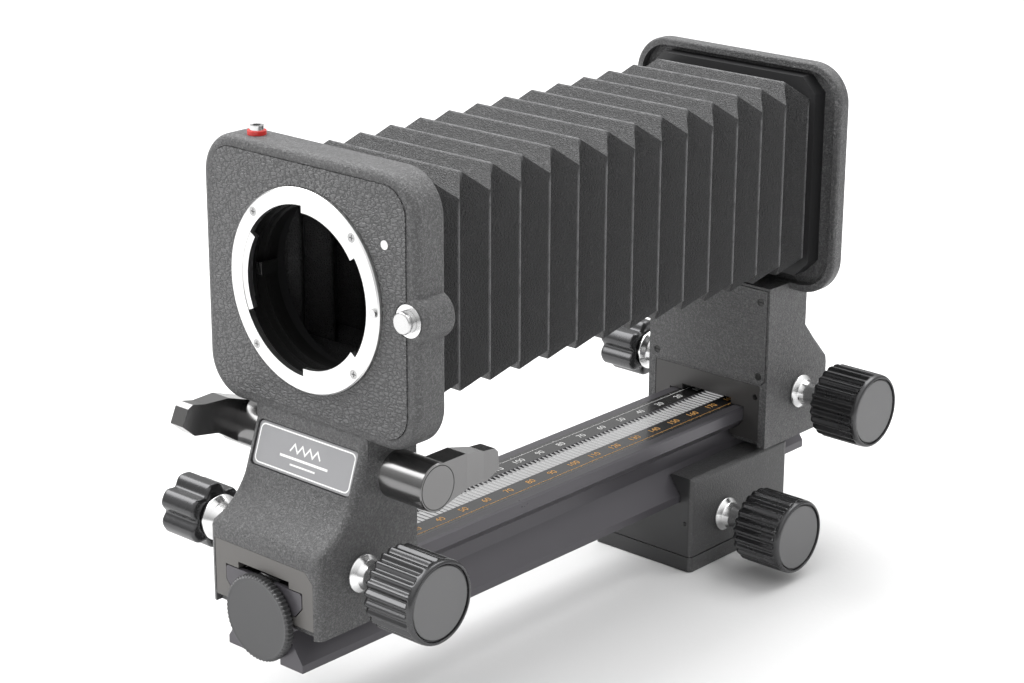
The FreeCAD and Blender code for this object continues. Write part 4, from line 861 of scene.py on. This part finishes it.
def print_scale(node, ink, slot, start, step):
    """Figures from start by step towards the rear, each with a fine mark, and a line along the edge."""
    low, high = (Vector(c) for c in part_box(node))
    outward = 1 if low.x > 0 else -1
    middle = (low.x + high.x) / 2
    fitting = int((high.y - low.y - FIRST_FIGURE - SCALE_END_MARGIN) / SCALE_STEP) + 1
    values = [start + step * k for k in range(fitting) if start + step * k >= 0]
    first = low.y + FIRST_FIGURE
    lift = high.z + PRINT_LIFT
    letters = []
    for k, value in enumerate(values):
        curve = bpy.data.curves.new("figure", "FONT")
        curve.body = str(value)
        curve.size = FIGURE_HEIGHT
        curve.align_x = "CENTER"
        curve.align_y = "CENTER"
        curve.extrude = 0.02 * MM
        curve.resolution_u = 3
        figure = new_object("figure", curve)
        bpy.context.view_layer.update()
        mesh = bpy.data.meshes.new_from_object(figure.evaluated_get(bpy.context.evaluated_depsgraph_get()))
        bpy.data.objects.remove(figure)
        mesh.transform(Matrix.Translation((middle - outward * 1.0 * MM, first + k * SCALE_STEP, lift))
                       @ Matrix.Rotation(math.pi / 2, 4, "Z"))
        letters.append(mesh)
    joined = bmesh.new()
    for mesh in letters:
        joined.from_mesh(mesh)
    mesh = bpy.data.meshes.new(node + "_figures")
    joined.to_mesh(mesh)
    joined.free()
    figures = new_object(node + "_figures", mesh)
    figures.data.materials.append(ink)
    finished(figures, "rail", slot)
    marks = new_object(node + "_marks", bpy.data.meshes.new(node + "_marks"))
    edge = middle + outward * 2.2 * MM
    with_nodes(marks, tick_tree(), Count=len(values) * 2 - 1, First=(edge, first, lift),
               Step=(0.0, SCALE_STEP / 2, 0.0), Bar=(0.6 * MM, 0.12 * MM, PRINT_LIFT), Material=ink)
    finished(marks, "rail", slot)
    border = new_object(node + "_line", bpy.data.meshes.new(node + "_line"))
    side = middle + outward * 1.9 * MM
    long_bar = (0.16 * MM, high.y - low.y - 2 * MM, PRINT_LIFT)
    with_nodes(border, tick_tree(), Count=1, First=(side, (low.y + high.y) / 2, lift),
               Step=(0.0, SCALE_STEP, 0.0), Bar=long_bar, Material=ink)
    finished(border, "rail", slot)


class BELLOWS_OT_knobs(BellowsOperator, bpy.types.Operator):
    """Turns and flutes the drive knobs, lock knobs and the disc on the rail's end"""
    bl_idname = "bellows_unit.knobs"
    bl_label = "Knobs"

    def make(self, context):
        settings = context.scene.bellows_knobs
        black = metal_material("knob_black", tuple(settings.body), 0.27, metallic=0.85, depth=0.001 * MM)
        for prefix in ("front", "rear", "block"):
            drive_knob(prefix, black, settings)
            lock_knob(prefix, black, settings)
        end_disc(settings)


def drive_knob(prefix, black, settings):
    """Fluted knob with a bevelled rim, a groove and a flat satin disc let into its end."""
    node = prefix + "_drive_knob"
    low, high = (Vector(c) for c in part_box(node))
    centre = (low + high) / 2
    radius = (high.z - low.z) / 2
    x0, x1 = low.x, high.x
    bore = 2.6 * MM
    profile = [(x0, bore), (x0, radius - 2.6 * MM), (x0 + 1.2 * MM, radius - 0.5 * MM),
               (x0 + 2.2 * MM, radius)]
    steps = 14
    for k in range(1, steps):
        profile.append((x0 + 2.2 * MM + (x1 - x0 - 4.0 * MM) * k / steps, radius))
    profile += [(x1 - 1.5 * MM, radius), (x1 - 0.35 * MM, radius - 0.25 * MM), (x1, radius - 0.8 * MM),
                (x1, radius - 1.2 * MM), (x1 - 0.8 * MM, radius - 1.3 * MM),
                (x1 - 0.8 * MM, radius - 1.6 * MM), (x1 - 3 * MM, radius - 1.7 * MM), (x1 - 3 * MM, bore)]
    mesh = lathe(node + "_turned", rounded(profile, 0.4 * MM, 3), "X", centre, settings.flutes * 12)
    knob = new_object(node + "_turned", mesh)
    with_nodes(knob, flute_tree(), Count=settings.flutes, Depth=settings.flute_depth, Narrowness=1.1,
               Axis_point=tuple(centre), Start=x0 - 3 * MM, End=x1 - 1.3 * MM, Run_out=0.9 * MM,
               Inner_radius=radius - 3.2 * MM, Turned_about_Y=0.0, Material=black)
    finished(knob, prefix + "_drive", "knob_black", node)
    face = [(x1 - 3.0 * MM, radius - 1.75 * MM), (x1 - 0.5 * MM, radius - 1.75 * MM),
            (x1 - 0.35 * MM, radius - 1.95 * MM), (x1 - 0.35 * MM, 0.0)]
    disc = new_object(node + "_disc", lathe(node + "_disc", [(x1 - 3.0 * MM, 0.0)] + face, "X", centre, 96))
    sharp_by_angle(disc.data)
    grey = ring_turned_material(prefix + "_disc_grey", tuple(settings.disc), 0.42, centre, 0, metallic=0.2)
    disc.data.materials.append(grey)
    finished(disc, prefix + "_drive", "knob_black")


def lock_knob(prefix, black, settings):
    """Lobed clamp knob."""
    node = prefix + "_lock_knob"
    low, high = (Vector(c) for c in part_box(node))
    centre = (low + high) / 2
    radius = (high.z - low.z) / 2
    x0, x1 = low.x, high.x
    profile = [(x0, 0.0), (x0, radius - 1.6 * MM), (x0 + 0.9 * MM, radius - 0.3 * MM),
               (x0 + 1.5 * MM, radius)]
    steps = 8
    for k in range(1, steps):
        profile.append((x0 + 1.5 * MM + (x1 - x0 - 3.0 * MM) * k / steps, radius))
    profile += [(x1 - 1.0 * MM, radius), (x1 - 0.3 * MM, radius - 0.5 * MM),
                (x1, radius - 1.4 * MM), (x1, 0.0)]
    mesh = lathe(node + "_turned", rounded(profile, 0.5 * MM, 3), "X", centre, settings.lobes * 32)
    knob = new_object(node + "_turned", mesh)
    with_nodes(knob, flute_tree(), Count=settings.lobes, Depth=settings.lobe_depth, Narrowness=2.2,
               Axis_point=tuple(centre), Start=x0 - 3 * MM, End=x1 + 3 * MM, Run_out=1.0 * MM,
               Inner_radius=radius - 5.5 * MM, Turned_about_Y=0.0, Material=black)
    sharp_by_angle(knob.data, 50)
    finished(knob, prefix + "_lock", "knob_black", node)


def end_disc(settings):
    """Thin milled disc on the rail's front end, with its stud."""
    low, high = (Vector(c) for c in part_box("end_disc_knob"))
    radius = (high.x - low.x) / 2
    centre = Vector((0.0, 0.0, (low.z + high.z) / 2))
    y0 = low.y
    back = y0 + 2.8 * MM
    stud = 3.0 * MM
    profile = [(y0 + 0.1 * MM, 0.0), (y0 + 0.1 * MM, radius - 1.5 * MM), (y0, radius - 1.2 * MM),
               (y0, radius - 0.6 * MM), (y0 + 0.5 * MM, radius), (y0 + 1.2 * MM, radius),
               (y0 + 1.9 * MM, radius), (back - 0.4 * MM, radius), (back, radius - 0.5 * MM),
               (back, stud), (high.y, stud), (high.y, 0.0)]
    mesh = lathe("end_disc_turned", rounded(profile, 0.15 * MM, 2), "Y", centre, settings.milling * 8)
    disc = new_object("end_disc_turned", mesh)
    grey = ring_turned_material("disc_grey", tuple(settings.rail_disc), 0.42, centre, 1, metallic=0.5)
    with_nodes(disc, flute_tree(), Count=settings.milling, Depth=0.6 * MM, Narrowness=0.8,
               Axis_point=(centre.x, 0.0, centre.z), Start=y0 - 1 * MM, End=back + 1 * MM, Run_out=0.3 * MM,
               Inner_radius=radius - 0.9 * MM, Turned_about_Y=1.0, Material=grey)
    sharp_by_angle(disc.data, 50)
    finished(disc, "end_disc", "disc_grey", "end_disc_knob")


class BELLOWS_OT_nameplate(BellowsOperator, bpy.types.Operator):
    """Lays a bordered plate with a plain fold mark in the neck of the lens standard"""
    bl_idname = "bellows_unit.nameplate"
    bl_label = "Nameplate"

    def make(self, context):
        paint("front_nameplate", metal_material("nameplate_metal", (0.36, 0.36, 0.37), 0.38, metallic=0.4))
        low, high = (Vector(c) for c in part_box("front_nameplate"))
        half = (high.x - low.x) / 2
        rise = NAMEPLATE_HEIGHT / 2
        folds = [(-6.0 * MM + 1.5 * MM * k, 2.6 * MM if k % 2 else 0.4 * MM) for k in range(9)]
        long_rule = [(-9.5 * MM, -1.4 * MM), (9.5 * MM, -1.4 * MM)]
        short_rule = [(-5.0 * MM, -3.2 * MM), (5.0 * MM, -3.2 * MM)]
        lines = [(folds, 0.5 * MM), (long_rule, 0.7 * MM), (short_rule, 0.5 * MM)]
        lines.append((round_frame(half - 0.8 * MM, rise - 0.8 * MM, 1.6 * MM), 0.42 * MM))
        points, faces = [], []
        for path, width in lines:
            ribbon(path, width, points, faces)
        lean = Matrix.Rotation(math.pi / 2 - NAMEPLATE_LEAN, 4, "X")
        middle = (low + high) / 2 + lean @ Vector((0.0, 0.0, NAMEPLATE_THICK / 2 + PRINT_LIFT))
        mesh = mesh_from("nameplate_print", points, faces, False)
        mesh.transform(Matrix.Translation(middle) @ lean)
        print_piece = new_object("nameplate_print", mesh)
        print_piece.data.materials.append(printed_material("nameplate_white", (0.9, 0.9, 0.89), 0.3))
        finished(print_piece, "lens_standard", "nameplate_metal")


def round_frame(half_x, half_z, corner):
    """Closed line round a rectangle with round corners."""
    path = []
    for quarter, (sx, sz) in enumerate(((1, 1), (-1, 1), (-1, -1), (1, -1))):
        for k in range(5):
            a = math.pi / 2 * (quarter + k / 4)
            path.append((sx * (half_x - corner) + corner * math.cos(a),
                         sz * (half_z - corner) + corner * math.sin(a)))
    return path + path[:2]


def ribbon(path, width, points, faces):
    """Flat band of even width along a line, with mitred corners."""
    start = len(points)
    for k, place in enumerate(path):
        here = Vector(place)
        before = Vector(path[k - 1]) if k else here
        after = Vector(path[k + 1]) if k + 1 < len(path) else here
        along = ((here - before).normalized() + (after - here).normalized()).normalized()
        side = Vector((-along.y, along.x))
        last = (after - here) if k + 1 < len(path) else (here - before)
        reach = width / 2 / max(abs(side.dot(Vector((-last.y, last.x)).normalized())), 0.4)
        for way in (-1, 1):
            edge = here + side * reach * way
            points.append((edge.x, edge.y, 0.0))
        if k:
            n = start + 2 * k
            faces.append((n - 2, n, n + 1, n - 1))


class BELLOWS_OT_stage(BellowsOperator, bpy.types.Operator):
    """Sets the floor, the soft lights and the camera"""
    bl_idname = "bellows_unit.stage"
    bl_label = "Stage"

    def make(self, context):
        settings = context.scene.bellows_stage
        make_floor()
        make_lights(context.scene)
        make_camera(context.scene, settings)


def make_floor():
    size = 3.0
    level = CAD_BOUNDS[0][2] - 0.2 * MM
    points = [(-size, -size, level), (size, -size, level), (size, size, level), (-size, size, level)]
    floor = new_object("floor", mesh_from("floor", points, [(0, 1, 2, 3)], False))
    made, tree, shader, place = material("floor_paper", (0.74, 0.74, 0.74), 0.8, specular=0.2)
    weave = add(tree, "ShaderNodeTexNoise", {"Vector": place, "Scale": 500.0, "Detail": 2.0})
    bump(tree, shader, weave.outputs[0], 0.05 * MM)
    floor.data.materials.append(made)


def area_light(name, place, target, size, power):
    data = bpy.data.lights.new(name, "AREA")
    data.shape = "RECTANGLE"
    data.size, data.size_y = size
    data.energy = power
    lamp = new_object(name, data)
    lamp.location = place
    lamp.rotation_euler = (Vector(target) - Vector(place)).to_track_quat("-Z", "Y").to_euler()


def make_lights(scene):
    """White room for the eye; for light and reflections it is bright above and dim at the sides."""
    world = bpy.data.worlds.new("pale_room")
    world.use_nodes = True
    tree = world.node_tree
    way = add(tree, "ShaderNodeSeparateXYZ", {0: tree.nodes.new("ShaderNodeTexCoord").outputs["Generated"]})
    room = maths(tree, "MULTIPLY_ADD", ramp(tree, way.outputs[2], -0.05, 0.9), 0.95, 0.4)
    seen = tree.nodes.new("ShaderNodeLightPath").outputs["Is Camera Ray"]
    tree.links.new(maths(tree, "MAXIMUM", room, maths(tree, "MULTIPLY", seen, 1.2)),
                   tree.nodes["Background"].inputs["Strength"])
    tree.nodes["Background"].inputs["Color"].default_value = (1.0, 1.0, 1.0, 1.0)
    scene.world = world
    middle = (0.0, -0.08, 0.1)
    area_light("upper_left_soft", (-0.70, -0.34, 1.0), middle, (0.95, 0.95), 15.0)
    area_light("overhead_soft", (0.05, 0.45, 1.1), middle, (1.0, 0.8), 9.0)
    scene.view_settings.view_transform = "Standard"
    scene.view_settings.look = "None"


def make_camera(scene, settings):
    data = bpy.data.cameras.new("camera")
    data.lens = settings.lens
    data.sensor_width = 36.0
    data.clip_start = 0.01
    camera = new_object("camera", data)
    a, e, roll = settings.azimuth, settings.elevation, settings.roll
    forward = Vector((-math.sin(a) * math.cos(e), math.cos(a) * math.cos(e), -math.sin(e)))
    right = Vector((math.cos(a), math.sin(a), 0.0))
    up = right.cross(forward)
    turned_right = math.cos(roll) * right + math.sin(roll) * up
    turned_up = math.cos(roll) * up - math.sin(roll) * right
    pose = Matrix((turned_right, turned_up, -forward)).transposed().to_4x4()
    pose.translation = Vector(settings.station)
    camera.matrix_world = pose
    scene.camera = camera


class BELLOWS_PT_panel(bpy.types.Panel):
    """Sidebar panel that lists the steps"""
    bl_label = "Bellows attachment"
    bl_idname = "BELLOWS_PT_panel"
    bl_space_type = "VIEW_3D"
    bl_region_type = "UI"
    bl_category = "Bellows"

    def draw(self, context):
        for step in STEPS:
            self.layout.operator(step.bl_idname)
        for name in SETTINGS:
            group = getattr(context.scene, name)
            box = self.layout.box()
            for prop in group.bl_rna.properties:
                if not prop.is_readonly and prop.identifier != "name":
                    box.prop(group, prop.identifier)


SETTINGS = {"bellows_cloth": BellowsClothSettings, "bellows_knobs": KnobSettings,
            "bellows_paint": PaintSettings, "bellows_stage": StageSettings}
STEPS = (BELLOWS_OT_cloth, BELLOWS_OT_castings, BELLOWS_OT_metal, BELLOWS_OT_levers, BELLOWS_OT_rail,
         BELLOWS_OT_scales, BELLOWS_OT_knobs, BELLOWS_OT_nameplate, BELLOWS_OT_stage)


def register():
    for name, group in SETTINGS.items():
        bpy.utils.register_class(group)
        setattr(bpy.types.Scene, name, PointerProperty(type=group))
    for step in STEPS:
        bpy.utils.register_class(step)
    bpy.utils.register_class(BELLOWS_PT_panel)


def unregister():
    bpy.utils.unregister_class(BELLOWS_PT_panel)
    for step in reversed(STEPS):
        bpy.utils.unregister_class(step)
    for name, group in SETTINGS.items():
        delattr(bpy.types.Scene, name)
        bpy.utils.unregister_class(group)


def main():
    register()
    for step in STEPS:
        area, name = step.bl_idname.split(".")
        getattr(getattr(bpy.ops, area), name)()


if __name__ == "__main__":
    main()
